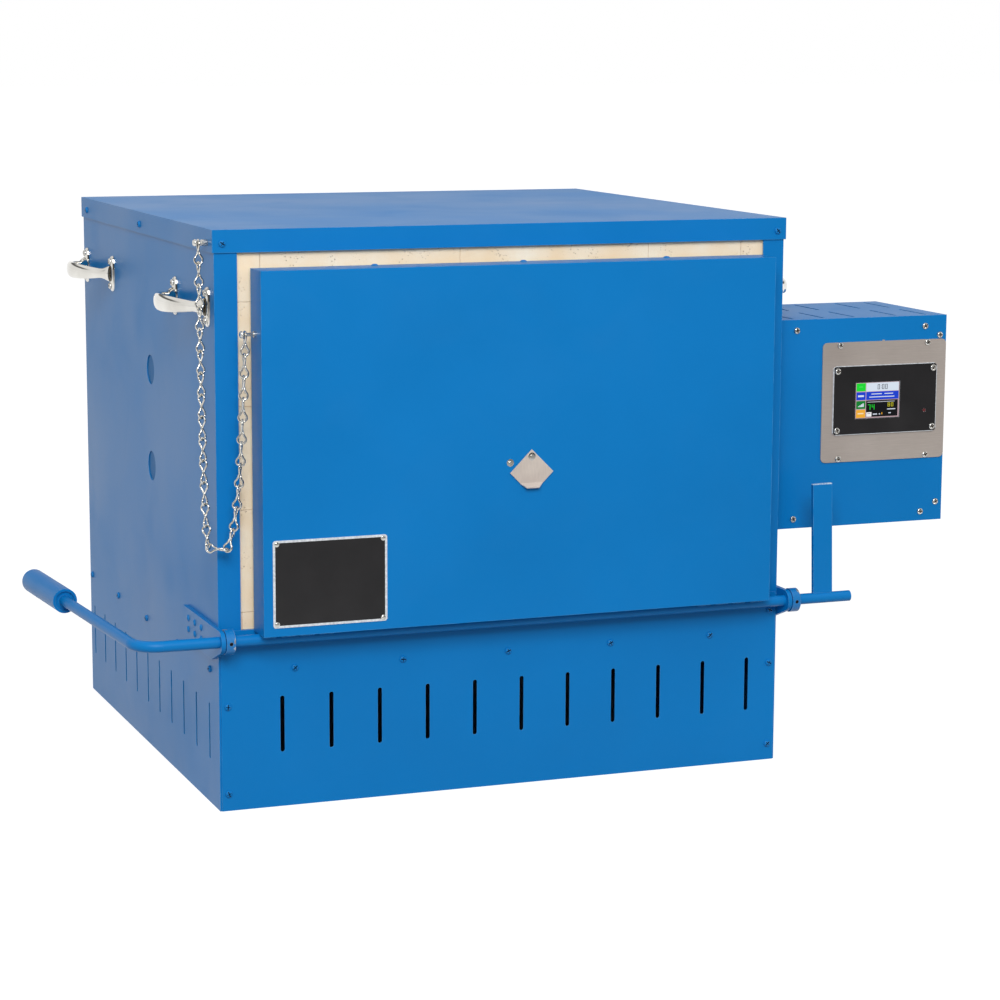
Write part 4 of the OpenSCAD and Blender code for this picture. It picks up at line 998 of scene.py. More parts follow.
def chain_tree():
    """Links on points, each laid along its leg and turned to its own plane."""
    t = Tree("Chain links", {
        "Link": "NodeSocketObject", "Size": "NodeSocketFloat", "Finish": "NodeSocketMaterial",
    })
    along = t.named("along")
    side = t.named("side")
    laid = t.node("FunctionNodeAxesToRotation", {0: along, 1: side}, primary_axis="Z", secondary_axis="Y")
    link = t.node("GeometryNodeObjectInfo", {"Object": t.given["Link"], "As Instance": False})
    links = t.node("GeometryNodeInstanceOnPoints", {
        "Points": t.given["Geometry"], "Instance": link.outputs["Geometry"], "Rotation": laid.outputs[0],
        "Scale": t.given["Size"]})
    return t.close(links.outputs[0])


BUILDERS = {"screws": screws_tree, "coil": coil_tree, "weld": weld_tree, "chain": chain_tree}
TREES = {}


def tree(name):
    if name not in TREES:
        TREES[name] = BUILDERS[name]()
    return TREES[name]


def point_object(name, points, **vectors):
    mesh = bpy.data.meshes.new(name)
    mesh.from_pydata([tuple(p) for p in points], [], [])
    for label, values in vectors.items():
        data = mesh.attributes.new(label, "FLOAT_VECTOR", "POINT").data
        for i, value in enumerate(values):
            data[i].vector = value
    return new_object(name, mesh)


def path_object(name, paths):
    verts, edges = [], []
    for path in paths:
        first = len(verts)
        verts += [tuple(p) for p in path]
        edges += [(i, i + 1) for i in range(first, len(verts) - 1)]
    mesh = bpy.data.meshes.new(name)
    mesh.from_pydata(verts, edges, [])
    return new_object(name, mesh)


# Fasteners


def screw_seats(node):
    """For each screw of a node: the point under its head, its direction, and its sizes."""
    found = []
    for part in islands(node):
        low, high = extent(part)
        size = [b - a for a, b in zip(low, high)]
        axis = min(range(3), key=lambda i: abs(size[(i + 1) % 3] - size[(i + 2) % 3]))
        if size[axis] < 0.001:
            continue
        centre = [(a + b) / 2 for a, b in zip(low, high)]
        others = [i for i in range(3) if i != axis]

        def reach(p):
            return math.hypot(*(p[i] - centre[i] for i in others))

        radius = max(reach(p) for p in part)
        rim = [p[axis] for p in part if reach(p) > radius - 0.00005]
        up = high[axis] - max(rim) < min(rim) - low[axis]
        seat = list(centre)
        seat[axis] = min(rim) if up else max(rim)
        aim = [0.0, 0.0, 0.0]
        aim[axis] = 1.0 if up else -1.0
        tall = (high[axis] - seat[axis]) if up else (seat[axis] - low[axis])
        found.append((Vector(seat), Vector(aim), radius, tall, size[axis] - tall))
    return found


def turned_shape(bm, profile, sides):
    rings = [
        [Vector((r * math.cos(a), r * math.sin(a), z)) for a in around(sides)]
        for r, z in profile
    ]
    loft(bm, rings)


PAN = (
    (0.86, -0.02), (1.0, 0.03), (1.0, 0.2), (0.97, 0.42),
    (0.89, 0.66), (0.76, 0.84), (0.58, 0.94), (0.3, 0.99),
)
DOME = ((0.9, -0.02), (1.0, 0.02), (0.98, 0.18), (0.9, 0.44), (0.74, 0.7), (0.52, 0.88), (0.26, 0.97))
CORNERS = ((1, 1), (-1, 1), (-1, -1), (1, -1))


def in_recess(face):
    """Whether a face of the head is a wall or the bottom of the cross recess."""
    place, lean = face.center, face.normal.z
    if place.z >= 0.9 or math.hypot(place.x, place.y) >= 0.84:
        return False
    return place.z > 0.3 and abs(lean) < 0.5 or place.z < 0.5 and lean > 0.5


def screw_head(name, cross):
    """Pan head of radius 1 and height 1 with a cross recess, or a plain dome."""
    bm = bmesh.new()
    turned_shape(bm, PAN if cross else DOME, 28 if cross else 24)
    obj = from_bmesh(name, bm, 50)
    if cross:
        width = settings("fastener").recess
        bm = bmesh.new()
        for long in (0, 1):
            reach = (0.66, width * 0.62) if long else (width, 0.8)
            rings = [
                [Vector((reach[0] * s * x, reach[1] * s * y, z)) for x, y in CORNERS]
                for s, z in ((0.8, 0.38), (1.06, 1.2))
            ]
            loft(bm, rings)
        cutter = from_bmesh("cutter", bm)
        cut = obj.modifiers.new("Recess", "BOOLEAN")
        cut.object = cutter
        cut.operation = "DIFFERENCE"
        cut.solver = "EXACT"
        cut.use_self = True
        plain_mesh(obj)
        bpy.data.objects.remove(cutter)
    mark = obj.data.attributes.new("recess", "FLOAT", "FACE").data
    for face in obj.data.polygons:
        mark[face.index].value = 1.0 if cross and in_recess(face) else 0.0
    return obj


PAINTED, PLATED = ("blue_powder_coat", "blue_enamel"), ("zinc_plate", "zinc_steel")
SCREWS = {
    "casing_screws": (*PAINTED, "pan"),
    "handle_screws": (*PLATED, "pan"),
    "box_screws": (*PLATED, "pan"),
    "panel_screws": (*PLATED, "pan"),
    "door_screws": (*PAINTED, "dome"),
    "bracket_rivets": (*PAINTED, "dome"),
    "door_rivets": (*PLATED, "dome"),
    "chain_anchor": (*PLATED, "pan"),
    "door_chain_screw": (*PLATED, "pan"),
}
KEEP_CAD = ("chain_anchor", "door_chain_screw")
OVER_CAD = 1.004


class KILN_OT_fasteners(bpy.types.Operator):
    """Seat the pan-head screws and rivets"""

    bl_idname = "kiln.fasteners"
    bl_label = "Screws and rivets"

    def execute(self, context):
        heads = {"pan": screw_head("pan_head", True), "dome": screw_head("dome_head", False)}
        for number, (node, (coat, slot, kind)) in enumerate(SCREWS.items()):
            seats = screw_seats(node)
            if not seats:
                raise RuntimeError(f"no screws found in {node}")
            grown = OVER_CAD if node in KEEP_CAD else 1.0
            obj = point_object(
                f"seated_{node}",
                [s[0] for s in seats],
                aim=[s[1] for s in seats],
                head=[(s[2] * grown, s[2] * grown, s[3]) for s in seats],
                shank=[(s[2] * 0.5, s[2] * 0.5, s[4]) for s in seats],
            )
            seed = settings("fastener").seed + number
            tree("screws").run(obj, Head=heads[kind], Shank_sides=16, Seed=seed, Finish=finish(coat))
            stands_for = () if node in KEEP_CAD else (node,)
            hand_over(obj, BODY_OF[node], slot, coat, *stands_for)
        for head in heads.values():
            bpy.data.objects.remove(head)
        return {"FINISHED"}


# Sheet metal

SHEET = {
    "side_panel_left": "left_side_sheet",
    "side_panel_right": "right_side_sheet",
    "back_panel": "back_sheet",
    "top_cover": "lipped_top_cover",
    "base_front_panel": "slotted_front_sheet",
    "brick_shelf": "brick_shelf_sheet",
    "hinge_bracket_left": "left_hinge_plate",
    "hinge_bracket_right": "right_hinge_plate",
    "control_box_shell": "controller_box_shell",
    "control_box_front": "controller_box_front",
    "door_shell": "folded_door_shell",
    "door_frame": "lining_frame",
}


class KILN_OT_sheet_metal(bpy.types.Operator):
    """Round the folds and edges of the painted sheet metal"""

    bl_idname = "kiln.sheet_metal"
    bl_label = "Sheet metal"

    def execute(self, context):
        fold = settings("paint").fold
        for node, name in SHEET.items():
            folded_copy(node, name, "blue_enamel", "blue_powder_coat", fold)
        folded_copy("lever_bar", "flat_lever", "blue_enamel", "lever_blue", 0.0007, 3)
        folded_copy("mounting_plate", "brushed_mounting_plate", "bare_steel", "brushed_steel", 0.0003)
        folded_copy("controller_faceplate", "black_faceplate", "black_enamel", "face_print", 0.0003)
        folded_copy("info_plate", "riveted_info_plate", "black_enamel", "info_print", 0.0002)
        folded_copy("peephole_cover", "peephole_flap", "bare_steel", "pale_steel", 0.00035)
        return {"FINISHED"}


# Brickwork


class KILN_OT_brickwork(bpy.types.Operator):
    """Round and pit the fire bricks and lay the fibre blankets"""

    bl_idname = "kiln.brickwork"
    bl_label = "Bricks and blankets"

    def execute(self, context):
        rounding = settings("brick").rounding
        walls = {
            "left_wall_bricks": "left_brick_wall",
            "right_wall_bricks": "right_brick_wall",
            "back_wall_bricks": "back_brick_wall",
            "roof_bricks": "brick_roof",
            "floor_bricks": "brick_floor",
            "door_lining": "door_brick_lining",
        }
        for node, name in walls.items():
            folded_copy(node, name, "fire_brick", "fire_brick", rounding)
        folded_copy("fibre_blankets", "soft_blankets", "fibre_blanket", "ceramic_fibre", 0.004, 4)
        return {"FINISHED"}


# Heating elements

# Places and lengths of the elements in millimetres, in the kiln's own frame
ROWS = (294.8, 362.8, 430.8, 498.8)
ROW_FRONT = 60
WALL_X, BACK_Y = 288.5, 569.3
BEND = 8
LEAD_FROM, LEAD_LONG, LEAD_THICK = 295.8, 75.4, 1.6
LEAD_RINGS, LEAD_SIDES, LEAD_TWIST = 14, 12, 0.9


def corner(centre, start, across, steps=6, upright=False):
    """Points of a quarter turn about a centre, from angle start, in degrees."""
    points = []
    for i in range(steps + 1):
        a = math.radians(start + across * i / steps)
        c, s = BEND * math.cos(a), BEND * math.sin(a)
        x, y, z = centre
        points.append(Vector((x, y + c, z + s) if upright else (x + c, y + s, z)) * MM)
    return points


def element_path(low, high):
    """Right wall, back and left wall in one row, and back in the row above."""

    def row(z):
        return (
            [Vector((WALL_X + BEND, ROW_FRONT, z)) * MM]
            + corner((WALL_X, BACK_Y, z), 0, 90)
            + corner((-WALL_X, BACK_Y, z), 90, 90)
        )

    left, y = -(WALL_X + BEND), ROW_FRONT + BEND
    rise = corner((left, y, low + BEND), 270, -90, upright=True)
    top = corner((left, y, high - BEND), 180, -90, upright=True)
    return row(low) + rise + top + row(high)[::-1]


class KILN_OT_elements(bpy.types.Operator):
    """Wind the heating elements and draw their leads"""

    bl_idname = "kiln.elements"
    bl_label = "Heating elements"

    def execute(self, context):
        heater = settings("heater")
        paths = [element_path(*ROWS[:2]), element_path(*ROWS[2:])]
        coils = path_object("wound_elements", paths)
        tree("coil").run(
            coils,
            Coil_radius=(heater.coil - heater.wire) / 2,
            Wire_radius=heater.wire / 2,
            Pitch=heater.pitch,
            Steps=heater.steps,
            Sides=5,
            Finish=finish("element_wire"),
        )
        hand_over(coils, "casing", "element_wire", "element_wire", "heating_elements")
        leads = bmesh.new()
        for z in ROWS:
            rings = []
            for k in range(LEAD_RINGS):
                x = LEAD_FROM + LEAD_LONG * k / (LEAD_RINGS - 1)
                turned = [a + LEAD_TWIST * k for a in around(LEAD_SIDES)]
                rings.append([
                    Vector((x, ROW_FRONT + LEAD_THICK * math.cos(a), z + LEAD_THICK * math.sin(a))) * MM
                    for a in turned
                ])
            loft(leads, rings)
        bmesh.ops.recalc_face_normals(leads, faces=leads.faces)
        tails = from_bmesh("twisted_leads", leads)
        hand_over(tails, "casing", "element_wire", "element_wire")
        return {"FINISHED"}


# Lift handles


CASING_SIDE, HANDLE_Z = 0.341, 0.56
HALF_BOW, FOOT_OUT, FOOT_WIDE = 0.070, 0.004, 0.015
BOW_END, BOW_LEAST, FLARE_LONG = 0.009, 0.0088, 0.012
BOW_STEPS, FOOT_POINTS, BOW_POINTS = 44, 56, 32
# Outward places of the foot's outlines, and how much each is drawn in
FOOT_DOME = ((0.0, 0.0), (0.0016, 0.0), (0.0028, 0.0007), (0.0036, 0.0019), (0.0041, 0.0034))
INSIDE_FOOT = 0.0012


def oval(wide, tall, count, power):
    """Outline of an oval in the foot's plane: (along the casing, upright)."""
    points = []
    for a in around(count):
        c, s = math.cos(a), math.sin(a)
        points.append((
            wide / 2 * math.copysign(abs(c) ** (2 / power), c),
            tall / 2 * math.copysign(abs(s) ** (2 / power), s),
        ))
    return points


def lift_handle(bm, side, y):
    """Feet with a domed rim and a bow that swells in the middle, on one side of the casing."""
    handle = settings("handle")
    half = HALF_BOW
    sag = handle.reach - handle.thick / 2 - FOOT_OUT
    arc = (half * half + sag * sag) / (2 * sag)
    centre = handle.reach - handle.thick / 2 - arc
    lens = (half * half + (handle.tall / 2 - BOW_END / 2) ** 2) / (handle.tall - BOW_END)

    def at(out, along, up):
        return Vector((side * CASING_SIDE + side * out, y + along, HANDLE_Z + up))

    for end in (-1, 1):
        rings = []
        for out, shrink in FOOT_DOME:
            outline = oval(FOOT_WIDE - 2 * shrink, handle.foot - 2 * shrink, FOOT_POINTS, 2.6)
            rings.append([at(out, end * half + a, u) for a, u in outline])
        loft(bm, rings)
    rings = []
    for k in range(-BOW_STEPS, BOW_STEPS + 1):
        t = k / BOW_STEPS
        along = half * math.sin(t * math.pi / 2 * 0.999) if abs(t) < 1 else math.copysign(half, t)
        out = centre + math.sqrt(max(arc * arc - along * along, 0))
        slope = -along / (out - centre)
        flat = Vector((out, along, 0))
        outward = Vector((1.0, -slope, 0)).normalized()
        tall = 2 * (math.sqrt(max(lens * lens - along * along, 0)) - (lens - handle.tall / 2))
        near = max(0.0, (abs(along) - (half - FLARE_LONG)) / FLARE_LONG)
        flare = near * near * (3 - 2 * near)
        tall = max(tall, BOW_LEAST) + 0.011 * flare * near
        thick = handle.thick * (0.98 - 0.12 * (1 - flare)) + 0.0035 * flare * near
        ring = []
        for a, u in oval(thick, tall, BOW_POINTS, 2.1):
            p = flat + outward * a
            ring.append(at(max(p.x, INSIDE_FOOT), p.y, u))
        rings.append(ring)
    loft(bm, rings)


class KILN_OT_lift_handles(bpy.types.Operator):
    """Cast the four chromed lift handles"""

    bl_idname = "kiln.lift_handles"
    bl_label = "Lift handles"

    def execute(self, context):
        for side, word in ((-1, "left"), (1, "right")):
            for place in ("front", "rear"):
                node = f"handle_{word}_{place}"
                low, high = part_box(node)
                bm = bmesh.new()
                lift_handle(bm, side, (low[1] + high[1]) / 2)
                bmesh.ops.recalc_face_normals(bm, faces=bm.faces)
                obj = from_bmesh(f"{word}_{place}_lift_handle", bm, 60)
                hand_over(obj, "casing", "polished_chrome", "polished_chrome", node)
        return {"FINISHED"}


# Weld stitches


WELD_STEP, WELD_DROP = 0.0017, (0.0019, 0.0027, 0.0027)
WELD_INSET, WELD_POINTS, WELD_SEED = 0.0012, 5, 3


class KILN_OT_weld_stitches(bpy.types.Operator):
    """Stitch the rod to the door and the lever to the rod"""

    bl_idname = "kiln.weld_stitches"
    bl_label = "Weld stitches"

    def execute(self, context):
        paths = []
        for part in islands("rod_welds"):
            low, high = extent(part)
            y, z = low[1] + (high[1] - low[1]) * 0.45, (low[2] + high[2]) / 2
            start, end = low[0] + WELD_INSET, high[0] - WELD_INSET
            paths.append([
                Vector((start + (end - start) * i / WELD_POINTS, y, z)) for i in range(WELD_POINTS + 1)
            ])
        beads = path_object("weld_stitches", paths)
        coat = finish("blue_powder_coat")
        tree("weld").run(beads, Step=WELD_STEP, Drop=WELD_DROP, Seed=WELD_SEED, Finish=coat)
        hand_over(beads, "door", "blue_enamel", "blue_powder_coat", "rod_welds")
        return {"FINISHED"}


# Chain


NECK = 0.0016
LOOP_STEPS, LEAD_STEPS = 18, 4


def link_loop():
    """Closed centre line of one jack-chain link: teardrop loops in crossed planes."""
    chain = settings("chain")
    r, e, w = chain.loop, chain.link / 2 - chain.loop, chain.wire * 0.52
    touch = math.acos(min(1.0, (r - w * 0.2) / e))

    def spread(end, angle):
        """Loop of one end: from one wire of the neck round to the other."""
        start = -(math.pi / 2 - touch * 0.62)
        stop = math.pi - start
        out = []
        for i in range(LOOP_STEPS + 1):
            a = start + (stop - start) * i / LOOP_STEPS
            out.append((r * math.cos(a), e + r * math.sin(a)))
        lead = []
        for i in range(1, LEAD_STEPS):
            s = i / LEAD_STEPS
            ease = 0.45 * s + 0.55 * s * s * (3 - 2 * s)
            lead.append((w + (out[0][0] - w) * ease, NECK + (out[0][1] - NECK) * s))
        whole = [(w, NECK)] + lead + out + [(-x, z) for x, z in lead[::-1]] + [(-w, NECK)]
        c, s = math.cos(angle), math.sin(angle)
        return [Vector((x * c, x * s, end * z)) for x, z in whole]

    def crossing(start, way, end):
        """The neck between the loops: a quarter turn from one plane to the other."""
        turns = [(i, start + way * math.pi / 2 * i / LEAD_STEPS) for i in range(1, LEAD_STEPS)]
        return [Vector((w * math.cos(a), w * math.sin(a), end * NECK * (1 - i / 2))) for i, a in turns]

    return (
        spread(1, 0.0) + crossing(math.pi, -1, 1) + spread(-1, math.pi / 2) + crossing(-math.pi / 2, 1, -1)
    )


FIRST_GUESS, ROUNDS = (0.31, 0.52, 0.79), 400
UPPER_FROM = 0.0045
CHAIN = ("chain_leg_casing", "chain_link_left", "chain_link_bottom", "chain_link_right", "chain_leg_door")


def main_axis(points, centre, smallest=False):
    """Direction in which the points spread most, or least."""
    spread = [
        [sum((p[i] - centre[i]) * (p[j] - centre[j]) for p in points) for j in range(3)] for i in range(3)
    ]
    matrix = Matrix(spread)
    if smallest:
        trace = sum(spread[i][i] for i in range(3))
        matrix = Matrix.Identity(3) * trace - matrix
    way = Vector(FIRST_GUESS)
    for _ in range(ROUNDS):
        way = (matrix @ way).normalized()
    return way


class KILN_OT_chain(bpy.types.Operator):
    """Lay the jack chain from the casing to the door"""

    bl_idname = "kiln.chain"
    bl_label = "Door chain"

    def execute(self, context):
        bm = bmesh.new()
        sweep(bm, link_loop(), settings("chain").wire / 2, 10)
        bmesh.ops.recalc_face_normals(bm, faces=bm.faces)
        link = from_bmesh("jack_link", bm, 180)
        for node in CHAIN:
            centres, along, side = [], [], []
            for part in islands(node):
                centre = middle_of(part)
                way = main_axis(part, centre)
                reach = [(p - centre).dot(way) for p in part]
                centre = centre + way * (max(reach) + min(reach)) / 2
                upper = [p for p in part if (p - centre).dot(way) > UPPER_FROM]
                facing = main_axis(upper, middle_of(upper), smallest=True)
                centres.append(centre)
                along.append(way)
                side.append(facing)
            obj = point_object(f"jack_{node}", centres, along=along, side=side)
            tree("chain").run(obj, Link=link, Size=1.0, Finish=finish("chain_zinc"))
            hand_over(obj, BODY_OF[node], "zinc_steel", "chain_zinc", node)
        bpy.data.objects.remove(link)
        return {"FINISHED"}


# Controller

SEGMENTS = {
    "0": "abcdef", "1": "bc", "2": "abged", "3": "abgcd", "4": "fgbc", "5": "afgcd", "6": "afgedc",
    "7": "abc", "8": "abcdefg", "9": "abcdfg",
}
GREEN, ROYAL, LEAF, AMBER = srgb(24, 226, 52), srgb(24, 66, 214), srgb(8, 132, 48), srgb(250, 180, 52)
PALE, INK, YELLOW, WHITE = srgb(226, 236, 250), srgb(40, 42, 48), srgb(206, 200, 40), srgb(250, 250, 252)
FIELD, ROSE = srgb(6, 8, 14), srgb(206, 176, 184)
HALF_WIDE, HALF_TALL = 0.0292, 0.0213
TILE_DEPTH, TILE_STEP = 0.00003, 0.00002
TILE_FACES = ((0, 1, 2, 3), (7, 6, 5, 4), (0, 4, 5, 1), (1, 5, 6, 2), (2, 6, 7, 3), (3, 7, 4, 0))
# Tiles over the fields: left, top, right, bottom, colour
MARKS = (
    (0.73, 0.76, 0.92, 0.785, PALE), (0.76, 0.87, 0.82, 0.895, PALE), (0.25, 0.84, 0.37, 0.965, WHITE),
)
FOOT_MARKS = (
    (0.4, 0.885, 0.5, 0.915, PALE), (0.54, 0.885, 0.57, 0.915, PALE), (0.6, 0.86, 0.62, 0.915, AMBER),
)


class KILN_OT_controller(bpy.types.Operator):
    """Draw the lit picture on the controller's screen"""

    bl_idname = "kiln.controller"
    bl_label = "Controller screen"

    def tile(self, x0, z0, x1, z1, colour, level):
        """A lit tile, in shares of the screen's width and height from its top left corner."""
        (lx, front, lz), (hx, _, hz) = self.screen
        y = front - TILE_DEPTH - level * TILE_STEP
        a, b = lx + (hx - lx) * x0, lx + (hx - lx) * x1
        c, d = hz - (hz - lz) * z1, hz - (hz - lz) * z0
        corners = [(a, y, c), (b, y, c), (b, y, d), (a, y, d)]
        corners += [(x, yy + TILE_DEPTH + level * TILE_STEP, z) for x, yy, z in corners]
        verts = [self.bm.verts.new(p) for p in corners]
        for face in TILE_FACES:
            made = self.bm.faces.new([verts[i] for i in face])
            for loop in made.loops:
                loop[self.layer] = (*colour, 1.0)

    def digits(self, text, x, z, wide, tall, colour):
        """Seven-segment numbers from the top left corner (x, z)."""
        thick, level = wide * 0.24, 3
        for sign in text:
            if sign == ":":
                for k in (0.3, 0.7):
                    dot = z + tall * k
                    self.tile(x, dot - thick / 2, x + thick, dot + thick / 2, colour, level)
                x += thick * 2.2
                continue
            half = tall / 2
            bars = {
                "a": (0, 0, wide, thick),
                "b": (wide - thick, 0, wide, half),
                "c": (wide - thick, half, wide, tall),
                "d": (0, tall - thick, wide, tall),
                "e": (0, half, thick, tall),
                "f": (0, 0, thick, half),
                "g": (0, half - thick / 2, wide, half + thick / 2),
            }
            for bar in SEGMENTS[sign]:
                x0, z0, x1, z1 = bars[bar]
                self.tile(x + x0, z + z0, x + x1, z + z1, colour, level)
            x += wide * 1.5

    def execute(self, context):
        words = settings("controller")
        low, high = (Vector(v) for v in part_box("display_module"))
        x, z = (low.x + high.x) / 2, (low.z + high.z) / 2
        self.screen = tuple((x + k * HALF_WIDE, low.y, z + k * HALF_TALL) for k in (-1, 1))
        self.bm = bmesh.new()
        self.layer = self.bm.loops.layers.float_color.new("tile")
        self.tile(0, 0, 1, 1, ROSE, 0)
        for k, colour in enumerate((GREEN, ROYAL, LEAF, AMBER)):
            self.tile(0.012, 0.012 + 0.25 * k, 0.225, 0.238 + 0.25 * k, colour, 1)
        self.tile(0.24, 0.012, 0.988, 0.25, PALE, 1)
        self.tile(0.24, 0.262, 0.988, 0.49, ROYAL, 1)
        self.tile(0.24, 0.505, 0.975, 0.975, FIELD, 1)
        self.tile(0.075, 0.105, 0.16, 0.125, srgb(90, 240, 110), 2)
        self.tile(0.05, 0.35, 0.185, 0.4, PALE, 2)
        for k in range(4):
            self.tile(0.055 + 0.034 * k, 0.66 - 0.026 * k, 0.085 + 0.034 * k, 0.68, PALE, 2)
        self.tile(0.05, 0.85, 0.185, 0.885, srgb(255, 232, 190), 2)
        self.digits(words.clock, 0.5, 0.06, 0.05, 0.14, INK)
        for k, (a, b) in enumerate(((0.36, 0.6), (0.66, 0.86))):
            self.tile(a, 0.315, b, 0.34, PALE, 2)
            self.tile(a - 0.05, 0.4, b + 0.03, 0.425, PALE, 2)
        self.tile(0.27, 0.545, 0.9, 0.562, srgb(200, 204, 210), 2)
        self.digits(words.reading, 0.28, 0.62, 0.062, 0.15, GREEN)
        self.digits(words.target, 0.74, 0.59, 0.052, 0.11, YELLOW)
        for mark in MARKS:
            self.tile(*mark, 2)
        self.tile(0.275, 0.87, 0.345, 0.885, srgb(110, 90, 120), 3)
        for mark in FOOT_MARKS:
            self.tile(*mark, 2)
        picture = from_bmesh("screen_numbers", self.bm)
        hand_over(picture, "casing", "display_glass", "screen_picture")
        return {"FINISHED"}


# Nodes that keep their CAD mesh

KEPT = {
    "port_plugs": "port_shaded_blue",
    "lead_bushes": "dense_ceramic",
    "thermocouple": "brushed_steel",
    "chain_anchor": "zinc_plate",
    "display_module": "screen_glass",
    "status_light": "red_lens",
    "controller_board": "circuit_board",
    "power_relays": "black_plastic",
    "terminal_block": "brown_bakelite",
    "cord_gland": "black_plastic",
    "door_chain_screw": "zinc_plate",
    "peephole_tube": "dense_ceramic",
    "hinge_rod": "blue_powder_coat",
    "arm_grip": "blue_powder_coat",
    "shaft_collars": "painted_collar",
    "collar_screws": "blackened_steel",
}


class KILN_OT_plain_parts(bpy.types.Operator):
    """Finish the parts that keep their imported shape"""

    bl_idname = "kiln.plain_parts"
    bl_label = "Rod, grip and fittings"

    def execute(self, context):
        for node, coat in KEPT.items():
            obj = NODES[node]
            if not obj.material_slots:
                obj.data.materials.append(finish(coat))
            for slot in obj.material_slots:
                slot.material = finish(coat)
        return {"FINISHED"}


# Studio


FLOOR_HALF = 40.0
# Footprint under the casing where the floor's glow stops, for painted shade under the kiln.
UNDER_X, UNDER_Y, MIDDLE_Y = (0.325, 0.337), (0.3, 0.313), 0.3175
CAMERA_AT = (-1.1326, -2.9366, 0.8559)
CAMERA_TURN = (20.92, 9.45, 0.24)
FOCAL_PIXELS, PICTURE_WIDE, FILM_WIDE = 2812.5, 1000, 36.0
KEY_LAMP = dict(place=(-1.15, -3.35, 2.6), target=(0.0, 0.1, 0.35), size=(2.2, 1.6))
FILL_LAMP = dict(place=(3.4, -1.4, 1.6), target=(0.1, 0.2, 0.35), size=(1.6, 1.6))


def aimed(place, target):
    """Rotation that looks from one point to another."""
    ahead = (Vector(target) - Vector(place)).normalized()
    return ahead.to_track_quat("-Z", "Y").to_matrix().to_4x4()


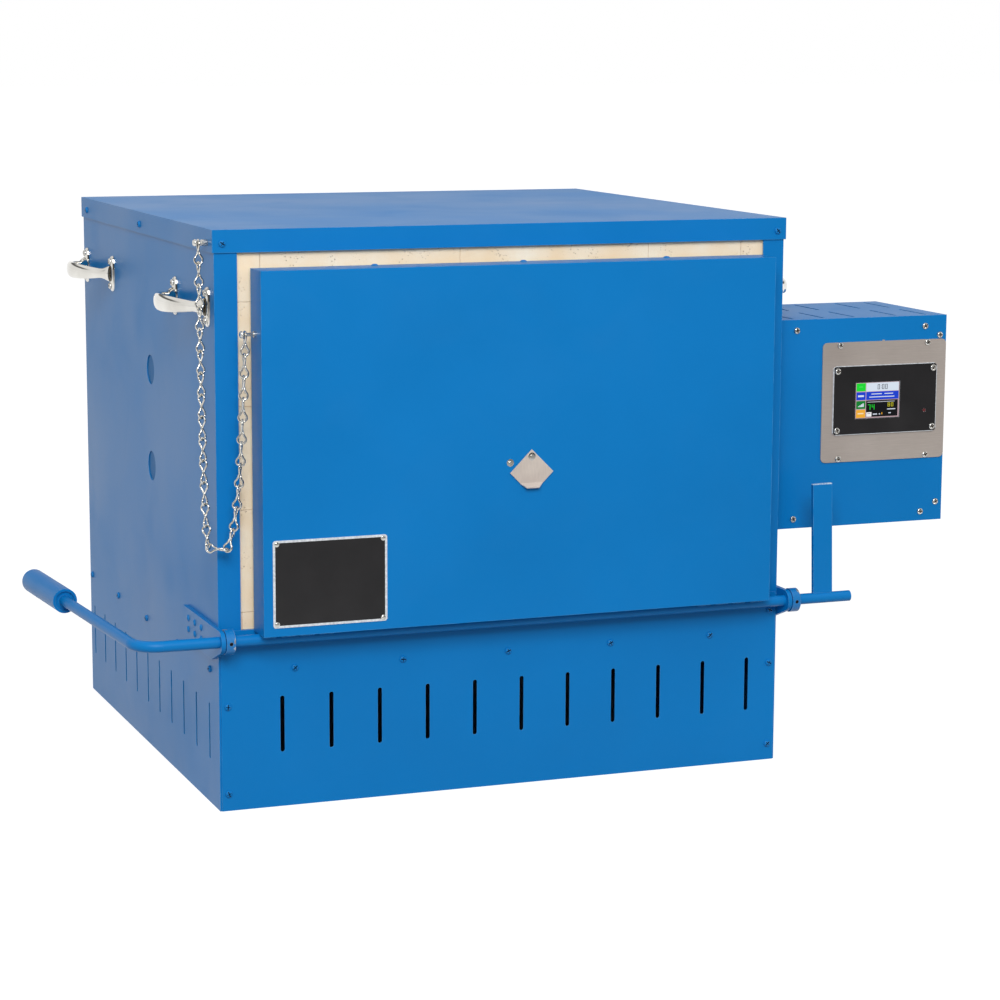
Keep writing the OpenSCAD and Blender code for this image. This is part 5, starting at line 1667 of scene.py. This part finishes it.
class KILN_OT_studio(bpy.types.Operator):
    """Set the floor, the lamps, the sky and the camera"""

    bl_idname = "kiln.studio"
    bl_label = "Studio"

    def floor(self):
        mesh = bpy.data.meshes.new("studio_floor")
        s = FLOOR_HALF
        mesh.from_pydata([(-s, -s, 0), (s, -s, 0), (s, s, 0), (-s, s, 0)], [], [(0, 1, 2, 3)])
        floor = new_object("studio_floor", mesh)
        f = Finish("studio_floor", Specular_IOR_Level=0.0, Roughness=1.0)
        f.shader.inputs["Base Color"].default_value = (0.3, 0.3, 0.3, 1)
        light = f.node("ShaderNodeLightPath").outputs
        axes = f.node("ShaderNodeSeparateXYZ", {0: f.place}).outputs
        y = axes["Y"]
        # The floor's glow stops under the casing, so that patch keeps a painted shade where it shows through
        # the base's slots.
        under = f.range(f.maths("ABSOLUTE", axes["X"]), *UNDER_X, 1.0, 0.0)
        away = f.maths("ABSOLUTE", f.maths("SUBTRACT", y, MIDDLE_Y))
        under = f.times(under, f.range(away, *UNDER_Y, 1.0, 0.0))
        seen = f.maths("ADD", light["Is Camera Ray"], light["Is Transmission Ray"])
        glossy = f.times(light["Is Glossy Ray"], f.range(y, -1.6, -0.3, 0.1, 1.0))
        shown = f.times(f.maths("MINIMUM", f.maths("ADD", seen, glossy), 1.0), 0.86)
        glow = f.node("ShaderNodeEmission", {
            "Color": (1, 1, 1, 1),
            "Strength": f.times(shown, f.maths("SUBTRACT", 1.0, under)),
        })
        both = f.node("ShaderNodeAddShader", {0: f.shader.outputs[0], 1: glow.outputs[0]})
        out = next(n for n in f.tree.nodes if n.bl_idname == "ShaderNodeOutputMaterial")
        f.tree.links.new(both.outputs[0], out.inputs["Surface"])
        mesh.materials.append(f.material)
        floor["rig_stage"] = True

    def sky(self, studio):
        world = bpy.data.worlds.new("studio_sky")
        bpy.context.scene.world = world
        world.use_nodes = True
        t = world.node_tree
        t.nodes.clear()
        light = add_node(t, "ShaderNodeLightPath").outputs
        way = add_node(t, "ShaderNodeTexCoord").outputs["Generated"]
        axes = add_node(t, "ShaderNodeSeparateXYZ", {0: way}).outputs
        y, z = axes["Y"], axes["Z"]
        glossy = light["Is Glossy Ray"]

        def times(a, b):
            return maths(t, "MULTIPLY", a, b)

        band = times(map_range(t, z, 0.24, 0.3), map_range(t, z, 0.42, 0.52, 1.0, 0.0))
        band = times(band, map_range(t, y, 0.2, 0.5, 0.0, 0.85))
        shown = maths(t, "MAXIMUM", light["Is Camera Ray"], light["Is Transmission Ray"])
        mirrored = times(glossy, map_range(t, y, -0.8, -0.15, studio.dark, 1.0))
        mirrored = times(mirrored, maths(t, "SUBTRACT", 1.0, band))
        plain = maths(t, "SUBTRACT", 1.0, maths(t, "MAXIMUM", shown, glossy))
        strength = maths(t, "ADD", maths(t, "ADD", shown, mirrored), times(plain, studio.sky))
        back = add_node(t, "ShaderNodeBackground", {"Color": (1, 1, 1, 1), "Strength": strength})
        out = add_node(t, "ShaderNodeOutputWorld")
        t.links.new(back.outputs[0], out.inputs["Surface"])

    def lamp(self, name, power, place, target, size):
        data = bpy.data.lights.new(name, "AREA")
        data.shape = "RECTANGLE"
        data.size, data.size_y = size
        data.energy = power
        lamp = bpy.data.objects.new(name, data)
        bpy.context.scene.collection.objects.link(lamp)
        lamp.matrix_world = Matrix.Translation(place) @ aimed(place, target)

    def camera(self):
        yaw, pitch, roll = (math.radians(a) for a in CAMERA_TURN)
        ahead = Vector((math.sin(yaw) * math.cos(pitch), math.cos(yaw) * math.cos(pitch), -math.sin(pitch)))
        right = Vector((math.cos(yaw), -math.sin(yaw), 0))
        up = right.cross(ahead)
        across = math.cos(roll) * right + math.sin(roll) * up
        upright = math.cos(roll) * up - math.sin(roll) * right
        data = bpy.data.cameras.new("studio_camera")
        data.sensor_fit = "HORIZONTAL"
        data.sensor_width = FILM_WIDE
        data.lens = FOCAL_PIXELS / PICTURE_WIDE * FILM_WIDE
        data.clip_start, data.clip_end = 0.05, 200.0
        camera = bpy.data.objects.new("studio_camera", data)
        bpy.context.scene.collection.objects.link(camera)
        turn = Matrix((across, upright, -ahead)).transposed().to_4x4()
        camera.matrix_world = Matrix.Translation(CAMERA_AT) @ turn
        bpy.context.scene.camera = camera

    def execute(self, context):
        studio = settings("studio")
        self.floor()
        self.sky(studio)
        self.lamp("key_lamp", studio.key, **KEY_LAMP)
        self.lamp("fill_lamp", studio.fill, **FILL_LAMP)
        self.camera()
        bpy.context.scene.view_settings.view_transform = "Standard"
        return {"FINISHED"}


class KILN_PT_sidebar(bpy.types.Panel):
    """Lists the kiln's pieces and their settings"""

    bl_label = "Bead annealing kiln"
    bl_idname = "KILN_PT_sidebar"
    bl_space_type = "VIEW_3D"
    bl_region_type = "UI"
    bl_category = "Kiln"

    def draw(self, context):
        layout = self.layout
        for operator in OPERATORS:
            layout.operator(operator.bl_idname, text=operator.bl_label)
        for name, section in SECTIONS.items():
            box = layout.box()
            box.label(text=name.capitalize())
            for prop in section.__annotations__:
                box.prop(getattr(context.scene.kiln, name), prop)


OPERATORS = (
    KILN_OT_studio,
    KILN_OT_sheet_metal,
    KILN_OT_brickwork,
    KILN_OT_elements,
    KILN_OT_lift_handles,
    KILN_OT_fasteners,
    KILN_OT_weld_stitches,
    KILN_OT_chain,
    KILN_OT_controller,
    KILN_OT_plain_parts,
)
CLASSES = (*SECTIONS.values(), KilnSettings, *OPERATORS, KILN_PT_sidebar)


def register():
    for cls in CLASSES:
        bpy.utils.register_class(cls)
    bpy.types.Scene.kiln = PointerProperty(
        name="Kiln", description="Settings of the kiln", type=KilnSettings
    )


def unregister():
    del bpy.types.Scene.kiln
    for cls in reversed(CLASSES):
        bpy.utils.unregister_class(cls)


def plain(box):
    return [[float(v) for v in end] for end in box]


def main():
    cad_box = plain(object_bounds())
    register()
    for operator in OPERATORS:
        family, name = operator.bl_idname.split(".")
        getattr(getattr(bpy.ops, family), name)()
    {"cad": cad_box, "visual": plain(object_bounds())}


if __name__ == "__main__":
    main()
